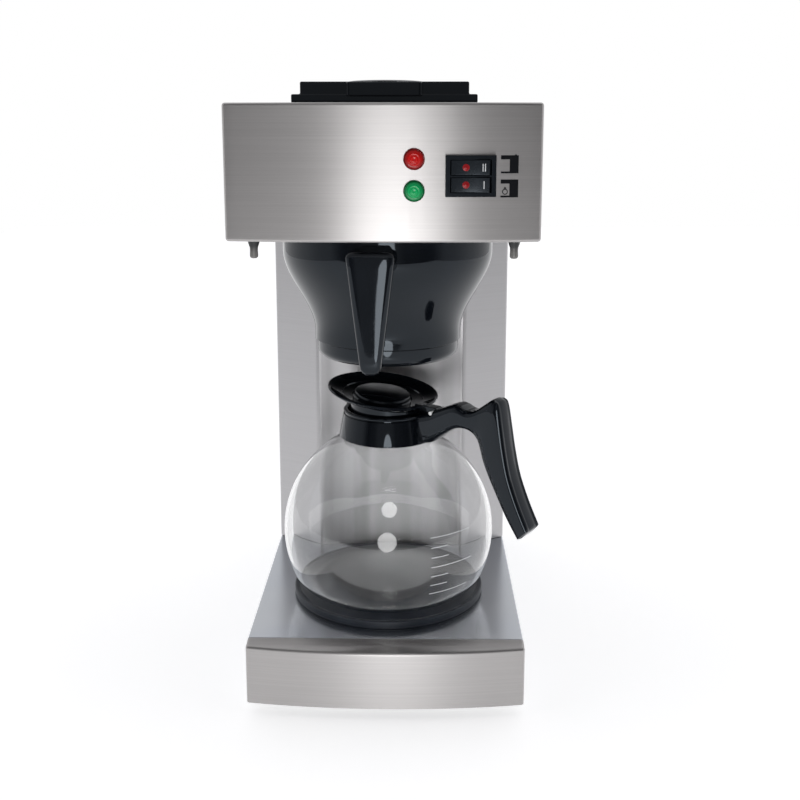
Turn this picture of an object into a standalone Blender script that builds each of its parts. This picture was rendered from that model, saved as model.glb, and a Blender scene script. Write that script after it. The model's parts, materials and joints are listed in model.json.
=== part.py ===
"""Two-warmer pour-over coffee brewer with a glass decanter, built as separate pieces.

Metres, +Z up. The front faces -Y and the feet stand on Z = 0. Inside this script the pieces are
placed from the base's front edge (Y = 0) and the machine's plane of symmetry (X = 0); at the end
the empty that holds them all moves the whole machine over the origin.
"""
from math import asin, cos, hypot, pi, radians, sin, sqrt

import bmesh
import bpy
from mathutils import Matrix, Vector

MM = 0.001

# Sheet metal, clearances and bends
SHEET = 1.0 * MM
GAP = 0.3 * MM
BEND = 2.0 * MM
SMOOTH_STEPS = 40
SMALL_STEPS = 16

# Base
FOOT_HEIGHT = 8 * MM
FOOT_RADIUS = 11 * MM
FOOT_INSET_SIDE = 22 * MM
FOOT_INSET_END = 35 * MM
BASE_WIDTH = 205 * MM
BASE_HEIGHT = 46.2 * MM
BODY_DEPTH = 358 * MM
FRONT_BOW = 7.7 * MM
FRONT_FLANGE = 11 * MM
FRONT_DROP = 1.5 * MM

# Column
COLUMN_SETBACK = 187 * MM
COLUMN_FACET = 129 * MM
COLUMN_WING = 23 * MM
COLUMN_LAP = 10 * MM
COLUMN_LIP = 16 * MM

# Warmers
WARMER_RADIUS = 76.5 * MM
WARMER_HEIGHT = 6 * MM
WARMER_WALL = 2.2 * MM
WARMER_REAR_MARGIN = 13 * MM
ELEMENT_OUTER = 58 * MM
ELEMENT_INNER = 24 * MM
ELEMENT_HEIGHT = 8 * MM
ELEMENT_CLEARANCE = 3 * MM

# Decanter
GLOBE_RADIUS = 84.3 * MM
GLOBE_TOE = 27.3 * MM
GLOBE_HEEL_RADIUS = 22 * MM
GLOBE_CLEARANCE = 1.7 * MM
GLASS_WALL = 2.0 * MM
NECK_RADIUS = 34 * MM
NECK_FILLET = 8 * MM
NECK_LENGTH = 14 * MM
COLLAR_HEIGHT = 22.5 * MM
COLLAR_SKIRT = 5 * MM
COLLAR_RIM = 1.6 * MM
COLLAR_LEDGE = 2 * MM
COLLAR_SEAT = 1.4 * MM
LID_DISH_OVERHANG = 8.6 * MM
LID_DISH_RISE = 14.4 * MM
LID_DISH_SHIFT = 5 * MM
LID_TILT = radians(7.5)
LID_BOSS_RADIUS = 22.8 * MM
LID_BOSS_HEIGHT = 5 * MM
LID_PLUG_CLEARANCE = 2 * MM
LID_PLUG_DEPTH = 6 * MM
HANDLE_TURN = radians(35)
HANDLE_WIDTH = 21 * MM
PIN_RADIUS = 1.5 * MM
PIN_STAND = 11.4 * MM
PIN_RISE = 4.5 * MM
LUG_WIDTH = 8.4 * MM
LUG_RADIUS = 3.2 * MM
LUG_NOTCH = 1.1 * MM

# Brew basket
BASKET_SIDE_MARGIN = 21.5 * MM
BASKET_CLEARANCE = 19.3 * MM
BASKET_HEIGHT = 101.2 * MM
BASKET_WALL = 2.2 * MM
BASKET_STEP = 24 * MM
BASKET_FOOT_INSET = 7 * MM
BASKET_FOOT_HEIGHT = 4.6 * MM
BASKET_DRAIN = 4 * MM
FLANGE_REACH = 2.9 * MM
FLANGE_THICK = 2.2 * MM
BASKET_HANDLE_TURN = radians(6)
BASKET_HANDLE_REACH = 24 * MM
BASKET_HANDLE_THICK = 9 * MM
BASKET_HANDLE_DROP = 9 * MM
BASKET_HANDLE_TOP = 33.9 * MM
BASKET_HANDLE_TIP = 15.4 * MM
BASKET_HANDLE_ARM = 13 * MM

# Head
HEAD_SIDE_LAP = 2.2 * MM
HEAD_OVERHANG = 19.5 * MM
HEAD_HEIGHT = 90.5 * MM
HEAD_RETURN = 12 * MM
RAIL_CLEARANCE = 0.5 * MM
RAIL_WALL = 1.8 * MM
RAIL_LIP = 0.9 * MM
RAIL_HALF_LENGTH = 55 * MM
RIVET_RADIUS = 4.35 * MM
RIVET_LENGTH = 13.3 * MM
RIVET_SHANK = 3 * MM
RIVET_Y = 0.5 * MM

# Controls, measured from the plane of symmetry and the middle of the head's height
LENS_X = 20.6 * MM
LENS_RADIUS = 7 * MM
LENS_SHANK = 5.7 * MM
RED_LENS_RISE = 9.2 * MM
GREEN_LENS_RISE = -11.3 * MM
LAMP_RADIUS = 5 * MM
LAMP_LENGTH = 18 * MM
SWITCH_X = 57.3 * MM
SWITCH_RISE = -1.7 * MM
SWITCH_WIDTH = 33.2 * MM
SWITCH_HEIGHT = 26.9 * MM
SWITCH_RIM = 2.2 * MM
SWITCH_SLEEVE_INSET = 1.4 * MM
SWITCH_DEPTH = 14 * MM
ROCKER_PITCH = 11.2 * MM
ROCKER_HEIGHT = 9.6 * MM
ROCKER_HALF_LENGTH = 12.4 * MM
ROCKER_NOSE = 4.6 * MM
ROCKER_VALLEY = 3.2 * MM
ROCKER_BACK = 5 * MM
ROCKER_PIVOT = 3.5 * MM
ROCKER_THROW = radians(14)

# Fill opening and its lid
LID_FRONT = 20 * MM
LID_WIDTH = 127.7 * MM
LID_DEPTH = 108 * MM
LID_FLANGE = 6 * MM
LID_STEP = 5.6 * MM
LID_HEIGHT = 14.6 * MM
LID_WALL = 2.5 * MM
CAP_RADIUS = 27 * MM
CAP_DOME = 1.5 * MM
BASIN_DEPTH = 38 * MM
BASIN_FLANGE = 6 * MM

# Water path
TUBE_RADIUS = 5 * MM
TUBE_BEND = 12 * MM
TANK_SIDE_MARGIN = 32 * MM
TANK_END_MARGIN = 15 * MM
TANK_DEPTH = 135 * MM
TANK_DROP = 20 * MM
SPRAY_RADIUS = 20 * MM
SPRAY_FLANGE = 4 * MM
SPRAY_HEIGHT = 12 * MM
HEATER_RADIUS = 4 * MM
HEATER_SPREAD = 60 * MM

# Rear
SCREW_HEAD = 4 * MM
SCREW_HEAD_HEIGHT = 2.4 * MM
SCREW_SHANK = 1.75 * MM
SCREW_LENGTH = 8 * MM
SCREW_INSET = 8 * MM
SCREW_END_MARGIN = 16 * MM
GLAND_RADIUS = 11 * MM
GLAND_THREAD = 8 * MM
GLAND_BORE = 4 * MM
GLAND_X = 60 * MM
GLAND_RISE = 34 * MM
LOUVRES = 6
LOUVRE_LENGTH = 70 * MM
LOUVRE_HEIGHT = 3 * MM
LOUVRE_PITCH = 9 * MM

# Levels and places that follow from the sizes above
HALF_WIDTH = BASE_WIDTH / 2
HEAD_HALF = HALF_WIDTH + HEAD_SIDE_LAP
BASE_TOP = FOOT_HEIGHT + BASE_HEIGHT
REAR_FACE = BODY_DEPTH - SHEET - GAP
WING_Y = COLUMN_SETBACK + COLUMN_WING
BASKET_RADIUS = HALF_WIDTH - BASKET_SIDE_MARGIN
FLANGE_RADIUS = BASKET_RADIUS + FLANGE_REACH
BREW_Y = COLUMN_SETBACK - max(GLOBE_RADIUS, FLANGE_RADIUS) - GLOBE_CLEARANCE
PLATE_TOP = BASE_TOP + GAP + WARMER_HEIGHT
GLASS_BOTTOM = PLATE_TOP + GAP
GLOBE_FLAT = GLOBE_RADIUS - GLOBE_TOE
HEEL_RISE = sqrt((GLOBE_RADIUS - GLOBE_HEEL_RADIUS) ** 2 - GLOBE_FLAT ** 2)
GLOBE_Z = GLASS_BOTTOM + GLOBE_HEEL_RADIUS + HEEL_RISE
FILLET_RISE = sqrt((GLOBE_RADIUS + NECK_FILLET) ** 2 - (NECK_RADIUS + NECK_FILLET) ** 2)
SHOULDER_Z = GLOBE_Z + FILLET_RISE * GLOBE_RADIUS / (GLOBE_RADIUS + NECK_FILLET)
NECK_Z = GLOBE_Z + FILLET_RISE
NECK_TOP = NECK_Z + NECK_LENGTH
COLLAR_BOTTOM_RADIUS = NECK_RADIUS + COLLAR_SKIRT
COLLAR_TOP_RADIUS = NECK_RADIUS + COLLAR_RIM
COLLAR_MOUTH = NECK_RADIUS - COLLAR_LEDGE
LID_PLUG_RADIUS = COLLAR_MOUTH - LID_PLUG_CLEARANCE
LID_DISH_RADIUS = COLLAR_TOP_RADIUS + LID_DISH_OVERHANG
PIN_REACH = COLLAR_TOP_RADIUS + PIN_STAND
COLLAR_BOTTOM = SHOULDER_Z + COLLAR_SEAT
COLLAR_TOP = COLLAR_BOTTOM + COLLAR_HEIGHT
PIN_Z = COLLAR_TOP + PIN_RISE
DISH_Z = COLLAR_TOP + LID_DISH_RISE
LID_HIGH = DISH_Z + LID_DISH_RADIUS * sin(LID_TILT)
BASKET_BOTTOM = LID_HIGH + BASKET_CLEARANCE + LID_BOSS_HEIGHT
BASKET_TOP = BASKET_BOTTOM + BASKET_HEIGHT
HEAD_BOTTOM = BASKET_TOP + GAP
HEAD_TOP = HEAD_BOTTOM + HEAD_HEIGHT
HEAD_MIDDLE = HEAD_BOTTOM + HEAD_HEIGHT / 2
HEAD_FRONT = -HEAD_OVERHANG
HEAD_SEAM = HEAD_FRONT + HEAD_RETURN
UPPER_Y = BODY_DEPTH - WARMER_REAR_MARGIN - WARMER_RADIUS
RIVET_X = FLANGE_RADIUS + RAIL_CLEARANCE + RIVET_RADIUS
BASIN_FLOOR = HEAD_TOP - BASIN_DEPTH
TANK_TOP = BASIN_FLOOR - TANK_DROP
TANK_BOTTOM = TANK_TOP - TANK_DEPTH
TANK_HALF = HALF_WIDTH - TANK_SIDE_MARGIN
TANK_FRONT = WING_Y + TANK_END_MARGIN
TANK_REAR = REAR_FACE - TANK_END_MARGIN
TUBE_LEVEL = TANK_TOP + SHEET + GAP + TUBE_RADIUS + 3 * MM

for old in list(bpy.data.objects):
    bpy.data.objects.remove(old, do_unlink=True)

MODEL = bpy.data.collections.new("coffee_brewer")
CUTTERS = bpy.data.collections.new("cutters")
bpy.context.scene.collection.children.link(MODEL)
bpy.context.scene.collection.children.link(CUTTERS)
ROOT = bpy.data.objects.new("brewer_origin", None)
MODEL.objects.link(ROOT)


# ---------------------------------------------------------------- finishes

def finish(name, colour, roughness, metallic=0.0, alpha=1.0):
    """A plain Principled material in the piece's own colour."""
    made = bpy.data.materials.new(name)
    made.use_nodes = True
    shader = made.node_tree.nodes["Principled BSDF"]
    shader.inputs["Base Color"].default_value = (*colour, 1.0)
    shader.inputs["Roughness"].default_value = roughness
    shader.inputs["Metallic"].default_value = metallic
    shader.inputs["Alpha"].default_value = alpha
    made.diffuse_color = (*colour, alpha)
    return made


STEEL = finish("brushed_steel", (0.62, 0.62, 0.61), 0.32, 1.0)
STEEL_TOP = finish("satin_steel", (0.60, 0.62, 0.65), 0.22, 1.0)
INNER_STEEL = finish("tank_steel", (0.55, 0.55, 0.55), 0.35, 1.0)
COATED = finish("warmer_coating", (0.03, 0.035, 0.045), 0.38)
HEATER = finish("heater_metal", (0.35, 0.33, 0.30), 0.5, 1.0)
BLACK = finish("gloss_black", (0.012, 0.013, 0.016), 0.12)
BLACK_MATTE = finish("matte_black", (0.02, 0.02, 0.022), 0.45)
GREY = finish("rivet_grey", (0.10, 0.10, 0.10), 0.4)
GLASS = finish("clear_glass", (0.95, 0.97, 0.97), 0.03, 0.0, 0.3)
RED = finish("red_lens", (0.55, 0.01, 0.01), 0.15)
GREEN = finish("green_lens", (0.0, 0.28, 0.10), 0.15)
LAMP = finish("lamp_body", (0.75, 0.72, 0.62), 0.4)
RUBBER = finish("rubber", (0.02, 0.02, 0.02), 0.8)
SILICONE = finish("silicone", (0.70, 0.68, 0.64), 0.5)
PLASTIC = finish("inner_plastic", (0.60, 0.58, 0.52), 0.5)
ZINC = finish("screw_zinc", (0.65, 0.65, 0.66), 0.3, 1.0)


# ---------------------------------------------------------------- modelling helpers

def add(name, mesh, coat, smooth_angle=35):
    """Put a mesh into the model as one named piece."""
    piece = bpy.data.objects.new(name, mesh)
    MODEL.objects.link(piece)
    piece.parent = ROOT
    mesh.materials.append(coat)
    mesh.shade_smooth()
    mesh.set_sharp_from_angle(angle=radians(smooth_angle))
    return piece


def as_cutter(piece, name):
    """Move a finished shape out of the model, to cut with."""
    piece.name = name
    MODEL.objects.unlink(piece)
    CUTTERS.objects.link(piece)
    piece.hide_render = True
    piece.display_type = "WIRE"
    return piece


def boolean(piece, other, operation="DIFFERENCE"):
    change = piece.modifiers.new(other.name, "BOOLEAN")
    change.operation = operation
    change.object = other


def bevel(piece, width, segments=2, angle=30):
    rounding = piece.modifiers.new("bevel", "BEVEL")
    rounding.width = width
    rounding.segments = segments
    rounding.limit_method = "ANGLE"
    rounding.angle_limit = radians(angle)


def thicken(piece, thickness):
    """Give an open sheet its thickness, on the side that its faces turn away from."""
    solid = piece.modifiers.new("sheet", "SOLIDIFY")
    solid.thickness = thickness
    solid.offset = -1
    solid.use_even_offset = True


def box_mesh(name, low, high):
    low = Vector(low)
    high = Vector(high)
    place = Matrix.Translation((low + high) / 2) @ Matrix.Diagonal((*(high - low), 1.0))
    bm = bmesh.new()
    bmesh.ops.create_cube(bm, size=1.0, matrix=place)
    mesh = bpy.data.meshes.new(name)
    bm.to_mesh(mesh)
    bm.free()
    return mesh


def box(name, low, high, coat, edge=0.0):
    piece = add(name, box_mesh(name, low, high), coat)
    if edge:
        bevel(piece, edge)
    return piece


def facing(face, side):
    """True when a face looks to the side named by an axis letter with its sign, such as -Y."""
    sign = 1 if side[0] == "+" else -1
    return face.normal["XYZ".index(side[1])] * sign > 0.9


def open_faces(mesh, sides):
    """Delete a mesh's faces that look to the named sides."""
    bm = bmesh.new()
    bm.from_mesh(mesh)
    gone = [face for face in bm.faces if any(facing(face, side) for side in sides)]
    bmesh.ops.delete(bm, geom=gone, context="FACES")
    bm.to_mesh(mesh)
    bm.free()


def folded_box(name, low, high, sides, coat, thickness=SHEET, bend=BEND):
    """A box of folded sheet, open to the named sides."""
    mesh = box_mesh(name, low, high)
    open_faces(mesh, sides)
    piece = add(name, mesh, coat)
    if bend:
        bevel(piece, bend, 3)
    thicken(piece, thickness)
    return piece


def turned(name, profile, coat, place=None, steps=SMOOTH_STEPS, closed=False):
    """A turned piece: its profile of (radius, height) runs down the outer side."""
    mesh = bpy.data.meshes.new(name)
    edges = [(i, i + 1) for i in range(len(profile) - 1)]
    if closed:
        edges.append((len(profile) - 1, 0))
    mesh.from_pydata([(radius, 0.0, height) for radius, height in profile], edges, [])
    piece = add(name, mesh, coat)
    screw = piece.modifiers.new("turn", "SCREW")
    screw.steps = steps
    screw.render_steps = steps
    screw.use_merge_vertices = True
    screw.merge_threshold = 0.00001
    screw.use_smooth_shade = True
    if place is not None:
        piece.matrix_local = place
    return piece


def pillar(name, radius, low, high, coat, place=None, steps=SMALL_STEPS):
    """A plain cylinder along its own Z."""
    return turned(name, [(0, high), (radius, high), (radius, low), (0, low)], coat, place, steps)


def as_mesh(curve_piece, coat):
    """Replace a curve object by the closed mesh that it makes."""
    bpy.context.view_layer.update()
    ready = curve_piece.evaluated_get(bpy.context.evaluated_depsgraph_get())
    mesh = bpy.data.meshes.new_from_object(ready)
    place = curve_piece.matrix_local.copy()
    name = curve_piece.name
    bpy.data.objects.remove(curve_piece, do_unlink=True)
    bm = bmesh.new()
    bm.from_mesh(mesh)
    bmesh.ops.remove_doubles(bm, verts=bm.verts, dist=0.00001)
    bmesh.ops.recalc_face_normals(bm, faces=bm.faces)
    bm.to_mesh(mesh)
    bm.free()
    mesh.materials.clear()
    piece = add(name, mesh, coat)
    piece.matrix_local = place
    return piece


def flat(name, outline, low, high, coat, place=None):
    """A flat outline given a thickness from low to high along its own Z."""
    curve = bpy.data.curves.new(name, "CURVE")
    curve.dimensions = "2D"
    curve.fill_mode = "BOTH"
    curve.extrude = (high - low) / 2
    spline = curve.splines.new("POLY")
    spline.points.add(len(outline) - 1)
    for point, (x, y) in zip(spline.points, outline):
        point.co = (x, y, 0, 1)
    spline.use_cyclic_u = True
    piece = bpy.data.objects.new(name, curve)
    MODEL.objects.link(piece)
    piece.parent = ROOT
    lift = Matrix.Translation((0, 0, (low + high) / 2))
    piece.matrix_local = lift if place is None else place @ lift
    return as_mesh(piece, coat)


def softened(corners, bend, steps=4):
    """A route through corners, each rounded off over the distance bend on both sides."""
    corners = [Vector(corner) for corner in corners]
    route = [corners[0]]
    for before, corner, after in zip(corners, corners[1:], corners[2:]):
        start = corner + (before - corner).normalized() * bend
        end = corner + (after - corner).normalized() * bend
        for i in range(steps + 1):
            t = i / steps
            route.append(start * (1 - t) ** 2 + corner * 2 * t * (1 - t) + end * t ** 2)
    route.append(corners[-1])
    return route


def bent_tube(name, corners, radius, bend, coat):
    """A round tube or rod along a route, closed at both ends."""
    curve = bpy.data.curves.new(name, "CURVE")
    curve.dimensions = "3D"
    curve.bevel_depth = radius
    curve.bevel_resolution = 2
    curve.use_fill_caps = True
    route = softened(corners, bend)
    spline = curve.splines.new("POLY")
    spline.points.add(len(route) - 1)
    for point, place in zip(spline.points, route):
        point.co = (*place, 1)
    piece = bpy.data.objects.new(name, curve)
    MODEL.objects.link(piece)
    piece.parent = ROOT
    return as_mesh(piece, coat)


def at(x, y, z=0.0):
    return Matrix.Translation((x, y, z))


def drill(piece, name, radius, place, length):
    """Cut a round hole of the given length, centred on a place and along its Z."""
    steps = SMALL_STEPS if radius < FOOT_RADIUS else SMOOTH_STEPS
    cutter = as_cutter(pillar(name, radius, -length / 2, length / 2, STEEL, place, steps), name)
    boolean(piece, cutter)
    return cutter


def cut_box(piece, name, low, high, place=None):
    cutter = as_cutter(add(name, box_mesh(name, low, high), STEEL), name)
    if place is not None:
        cutter.matrix_local = place
    boolean(piece, cutter)
    return cutter


ALONG_Y = Matrix.Rotation(radians(-90), 4, "X")
TOWARDS_FRONT = Matrix.Rotation(radians(90), 4, "X")


def bow_radius(half):
    return (half ** 2 + FRONT_BOW ** 2) / (2 * FRONT_BOW)


def bowed_edge(half, edge_y, steps=24):
    """Points along a front that bows out between its two ends, from -X to +X."""
    radius = bow_radius(half)
    swing = asin(half / radius)
    points = []
    for i in range(steps + 1):
        angle = -swing + 2 * swing * i / steps
        points.append((radius * sin(angle), edge_y - FRONT_BOW + radius * (1 - cos(angle))))
    return points


def bowed_block(name, half, edge_y, back_y, low, high, bend, slope):
    """A closed block with a bowed front and rounded edges, whose top falls towards the front."""
    outline = bowed_edge(half, edge_y) + [(half, back_y), (-half, back_y)]
    count = len(outline)
    floor = [(x, y, low) for x, y in outline]
    top = [(x, y, high - slope * (FRONT_FLANGE - y)) for x, y in outline]
    walls = [(i, (i + 1) % count, count + (i + 1) % count, count + i) for i in range(count)]
    mesh = bpy.data.meshes.new(name)
    mesh.from_pydata(floor + top, [], [range(count - 1, -1, -1), range(count, 2 * count)] + walls)
    block = add(name, mesh, STEEL)
    bevel(block, bend, 3)
    # The bends' quads aren't quite flat where the bow meets a side, so they are split before any cut
    block.modifiers.new("flat_faces", "TRIANGULATE")
    return block


def bowed_tray(name, half, edge_y, seam_y, low, high, slope=0.0, has_floor=True):
    """A folded front of sheet with a bowed face, open at its back and, if it has no floor, below."""
    reach = 3 * BEND
    bottom = low if has_floor else low - reach
    panel = bowed_block(name, half, edge_y, seam_y + reach, bottom, high, BEND, slope)
    hollow = bowed_block(f"{name}_hollow", half - SHEET, edge_y + SHEET, seam_y + 2 * reach,
                         bottom + SHEET, high - SHEET, BEND - SHEET, slope)
    boolean(panel, as_cutter(hollow, f"{name}_hollow"))
    cut_box(panel, f"{name}_back", (-2 * half, seam_y, bottom - reach), (2 * half, seam_y + 3 * reach, 2 * high))
    if not has_floor:
        cut_box(panel, f"{name}_foot", (-2 * half, edge_y - 3 * reach, low - 2 * reach),
                (2 * half, seam_y + 2 * reach, low))
    # The cuts leave points a hair apart where bends meet, so they are joined before any hole is cut
    weld = panel.modifiers.new("joined_points", "WELD")
    weld.merge_threshold = BEND / 200
    return panel


def on_head_front(x, rise):
    """Place on the head's bowed face: local Z points out of the face, local Y is up."""
    radius = bow_radius(HEAD_HALF)
    lean = asin(x / radius)
    y = HEAD_FRONT - FRONT_BOW + radius * (1 - cos(lean))
    return at(x, y, HEAD_MIDDLE + rise) @ Matrix.Rotation(lean, 4, "Z") @ TOWARDS_FRONT


# ---------------------------------------------------------------- base

def make_base():
    seam = FRONT_FLANGE + GAP
    shell = folded_box("base_shell", (-HALF_WIDTH, seam, FOOT_HEIGHT), (HALF_WIDTH, BODY_DEPTH, BASE_TOP),
                       ["-Y", "-Z"], STEEL_TOP)
    opening = ELEMENT_OUTER + ELEMENT_CLEARANCE
    drill(shell, "lower_element_opening", opening, at(0, BREW_Y, BASE_TOP), 3 * BEND)
    drill(shell, "wire_passage", TUBE_BEND, at(0, (WING_Y + BODY_DEPTH) / 2, BASE_TOP), 3 * BEND)

    bowed_tray("base_front_panel", HALF_WIDTH, 0.0, FRONT_FLANGE, FOOT_HEIGHT, BASE_TOP,
               slope=FRONT_DROP / FRONT_FLANGE, has_floor=False)

    inner = HALF_WIDTH - SHEET - GAP
    plate_low = FOOT_HEIGHT + SHEET
    plate = box("base_bottom_plate", (-inner, SHEET + BEND, plate_low), (inner, REAR_FACE, plate_low + SHEET),
                STEEL)
    drill(plate, "base_drain_slot", FOOT_RADIUS, at(0, COLUMN_SETBACK, plate_low), 4 * SHEET)

    foot_top = plate_low - GAP
    chamfer = SHEET
    profile = [(0, foot_top), (FOOT_RADIUS, foot_top), (FOOT_RADIUS, foot_top / 2),
               (FOOT_RADIUS - chamfer, chamfer), (FOOT_RADIUS - 2 * chamfer, 0), (0, 0)]
    foot_x = HALF_WIDTH - FOOT_INSET_SIDE
    for end, y in (("front", FOOT_INSET_END), ("rear", BODY_DEPTH - FOOT_INSET_END)):
        for side, x in (("left", -foot_x), ("right", foot_x)):
            turned(f"foot_{end}_{side}", profile, RUBBER, at(x, y), 20)


def make_warmer(level, y, prefix):
    """A coated plate on a sheet at the given level, with its ring element hung below it."""
    low = level + GAP
    high = low + WARMER_HEIGHT
    chamfer = SHEET
    inner = WARMER_RADIUS - WARMER_WALL
    plate = [(0, high), (WARMER_RADIUS - chamfer, high), (WARMER_RADIUS, high - chamfer),
             (WARMER_RADIUS, low), (inner, low), (inner, high - WARMER_WALL), (0, high - WARMER_WALL)]
    turned(f"{prefix}_warmer_plate", plate, COATED, at(0, y))
    top = high - WARMER_WALL - GAP
    ring = [(ELEMENT_OUTER, top), (ELEMENT_OUTER, top - ELEMENT_HEIGHT),
            (ELEMENT_INNER, top - ELEMENT_HEIGHT), (ELEMENT_INNER, top)]
    turned(f"{prefix}_warmer_element", ring, HEATER, at(0, y), 32, closed=True)


# ---------------------------------------------------------------- column and rear

def screw_places():
    x = HALF_WIDTH - SCREW_INSET
    low = BASE_TOP + SCREW_END_MARGIN
    high = HEAD_BOTTOM - SCREW_END_MARGIN
    return [(-x, low), (x, low), (-x, high), (x, high)]


def make_column():
    lip = HALF_WIDTH - COLUMN_LIP
    facet = COLUMN_FACET / 2
    left = [(-lip, REAR_FACE), (-HALF_WIDTH, REAR_FACE), (-HALF_WIDTH, WING_Y), (-facet, COLUMN_SETBACK)]
    path = left + [(-x, y) for x, y in reversed(left)]
    low = BASE_TOP + GAP
    high = HEAD_BOTTOM + COLUMN_LAP
    mesh = bpy.data.meshes.new("column_front")
    mesh.from_pydata([(x, y, low) for x, y in path], [(i, i + 1) for i in range(len(path) - 1)], [])
    bm = bmesh.new()
    bm.from_mesh(mesh)
    rise = bmesh.ops.extrude_edge_only(bm, edges=bm.edges)
    raised = [item for item in rise["geom"] if isinstance(item, bmesh.types.BMVert)]
    bmesh.ops.translate(bm, verts=raised, vec=(0, 0, high - low))
    if any(face.normal.y > 0 and face.calc_center_median().y < WING_Y for face in bm.faces):
        bmesh.ops.reverse_faces(bm, faces=bm.faces)
    bm.to_mesh(mesh)
    bm.free()
    column = add("column_front", mesh, STEEL)
    bevel(column, BEND, 3, 15)
    thicken(column, SHEET)
    return column


def make_rear(column):
    low = BASE_TOP + GAP
    high = HEAD_TOP - SHEET - GAP
    cover = box("rear_cover", (-HALF_WIDTH, BODY_DEPTH - SHEET, low), (HALF_WIDTH, BODY_DEPTH, high), STEEL)
    screw = [(0, SCREW_HEAD_HEIGHT), (SCREW_HEAD / 2, SCREW_HEAD_HEIGHT), (SCREW_HEAD, SCREW_HEAD_HEIGHT / 2),
             (SCREW_HEAD, 0), (SCREW_SHANK, 0), (SCREW_SHANK, -SCREW_LENGTH), (0, -SCREW_LENGTH)]
    for number, (x, z) in enumerate(screw_places(), 1):
        place = at(x, BODY_DEPTH + GAP, z) @ ALONG_Y
        turned(f"rear_screw_{number}", screw, ZINC, place, SMALL_STEPS)
        hole = drill(cover, f"screw_hole_{number}", SCREW_SHANK + GAP, place, 2 * SCREW_LENGTH)
        boolean(column, hole)

    gland_place = at(GLAND_X, BODY_DEPTH + GAP, BASE_TOP + GLAND_RISE) @ ALONG_Y
    reach = 3 * SCREW_LENGTH
    gland = [(GLAND_BORE, SCREW_LENGTH), (GLAND_THREAD, SCREW_LENGTH), (GLAND_RADIUS, SCREW_LENGTH / 2),
             (GLAND_RADIUS, 0), (GLAND_THREAD, 0), (GLAND_THREAD, -reach / 2), (GLAND_BORE, -reach / 2)]
    turned("cord_gland", gland, BLACK_MATTE, gland_place, 24, closed=True)
    drill(cover, "gland_hole", GLAND_THREAD + GAP, gland_place, reach)

    half = LOUVRE_LENGTH / 2
    top_slot = HEAD_TOP - TANK_DROP
    for number in range(LOUVRES):
        z = top_slot - number * LOUVRE_PITCH
        cut_box(cover, f"louvre_{number}", (-half, BODY_DEPTH - 3 * SHEET, z - LOUVRE_HEIGHT),
                (half, BODY_DEPTH + 3 * SHEET, z))


# ---------------------------------------------------------------- head

def make_head():
    shell = folded_box("head_shell", (-HEAD_HALF, HEAD_SEAM + GAP, HEAD_BOTTOM), (HEAD_HALF, BODY_DEPTH, HEAD_TOP),
                       ["-Y", "+Y", "-Z"], STEEL)
    drill(shell, "upper_element_opening", ELEMENT_OUTER + ELEMENT_CLEARANCE, at(0, UPPER_Y, HEAD_TOP), 3 * BEND)

    panel = bowed_tray("head_front_panel", HEAD_HALF, HEAD_FRONT, HEAD_SEAM, HEAD_BOTTOM, HEAD_TOP)

    seam = HEAD_SEAM + GAP
    step = 2 * GAP
    facet = COLUMN_FACET / 2
    outline = [(-HALF_WIDTH, seam), (HALF_WIDTH, seam), (HALF_WIDTH, WING_Y - step),
               (facet, COLUMN_SETBACK - step), (-facet, COLUMN_SETBACK - step), (-HALF_WIDTH, WING_Y - step)]
    underside = flat("head_bottom_plate", outline, HEAD_BOTTOM, HEAD_BOTTOM + SHEET, STEEL)
    drill(underside, "spray_opening", SPRAY_RADIUS + GAP, at(0, BREW_Y, HEAD_BOTTOM), 4 * SHEET)

    top = HEAD_BOTTOM + SHEET + RIVET_SHANK
    neck = HEAD_BOTTOM - GAP
    rivet = [(0, top), (RIVET_SHANK, top), (RIVET_SHANK, neck), (RIVET_RADIUS, neck),
             (RIVET_RADIUS - SHEET / 2, neck - RIVET_SHANK), (RIVET_RADIUS - SHEET / 2, neck - RIVET_LENGTH + SHEET),
             (RIVET_RADIUS - SHEET, neck - RIVET_LENGTH), (0, neck - RIVET_LENGTH)]
    for side, x in (("left", -RIVET_X), ("right", RIVET_X)):
        turned(f"rivet_{side}", rivet, GREY, at(x, RIVET_Y), SMALL_STEPS)
        drill(underside, f"rivet_hole_{side}", RIVET_SHANK + GAP, at(x, RIVET_Y, HEAD_BOTTOM), 4 * SHEET)
    return shell, panel


def make_rails():
    """Two rails that carry the basket's flange, each with a web and a lip under the flange."""
    top = HEAD_BOTTOM - GAP
    lip_top = BASKET_TOP - FLANGE_THICK - GAP
    low = lip_top - RAIL_WALL
    inner = BASKET_RADIUS + RAIL_LIP
    web = FLANGE_RADIUS + RAIL_CLEARANCE
    outer = web + RAIL_WALL
    section = [(inner, lip_top), (web, lip_top), (web, top), (outer, top), (outer, low), (inner, low)]
    for side, sign in (("left", -1), ("right", 1)):
        outline = [(sign * x, z) for x, z in section]
        place = at(0, BREW_Y, 0) @ TOWARDS_FRONT
        flat(f"basket_rail_{side}", outline, -RAIL_HALF_LENGTH, RAIL_HALF_LENGTH, STEEL, place)


def make_lenses(panel):
    proud = SHEET + GAP
    dome = [(0, proud * 2.2), (LENS_RADIUS * 0.55, proud * 2), (LENS_RADIUS * 0.86, proud * 1.5),
            (LENS_RADIUS, proud * 0.8), (LENS_RADIUS, GAP), (LENS_SHANK, GAP),
            (LENS_SHANK, -3 * SHEET), (0, -3 * SHEET)]
    for name, rise, coat in (("red", RED_LENS_RISE, RED), ("green", GREEN_LENS_RISE, GREEN)):
        place = on_head_front(LENS_X, rise)
        turned(f"{name}_lens", dome, coat, place, 24)
        back = -3 * SHEET - GAP
        pillar(f"{name}_lamp", LAMP_RADIUS, back - LAMP_LENGTH, back, LAMP, place)
        drill(panel, f"{name}_lens_hole", LENS_SHANK + GAP, place, 6 * SHEET)


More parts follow.
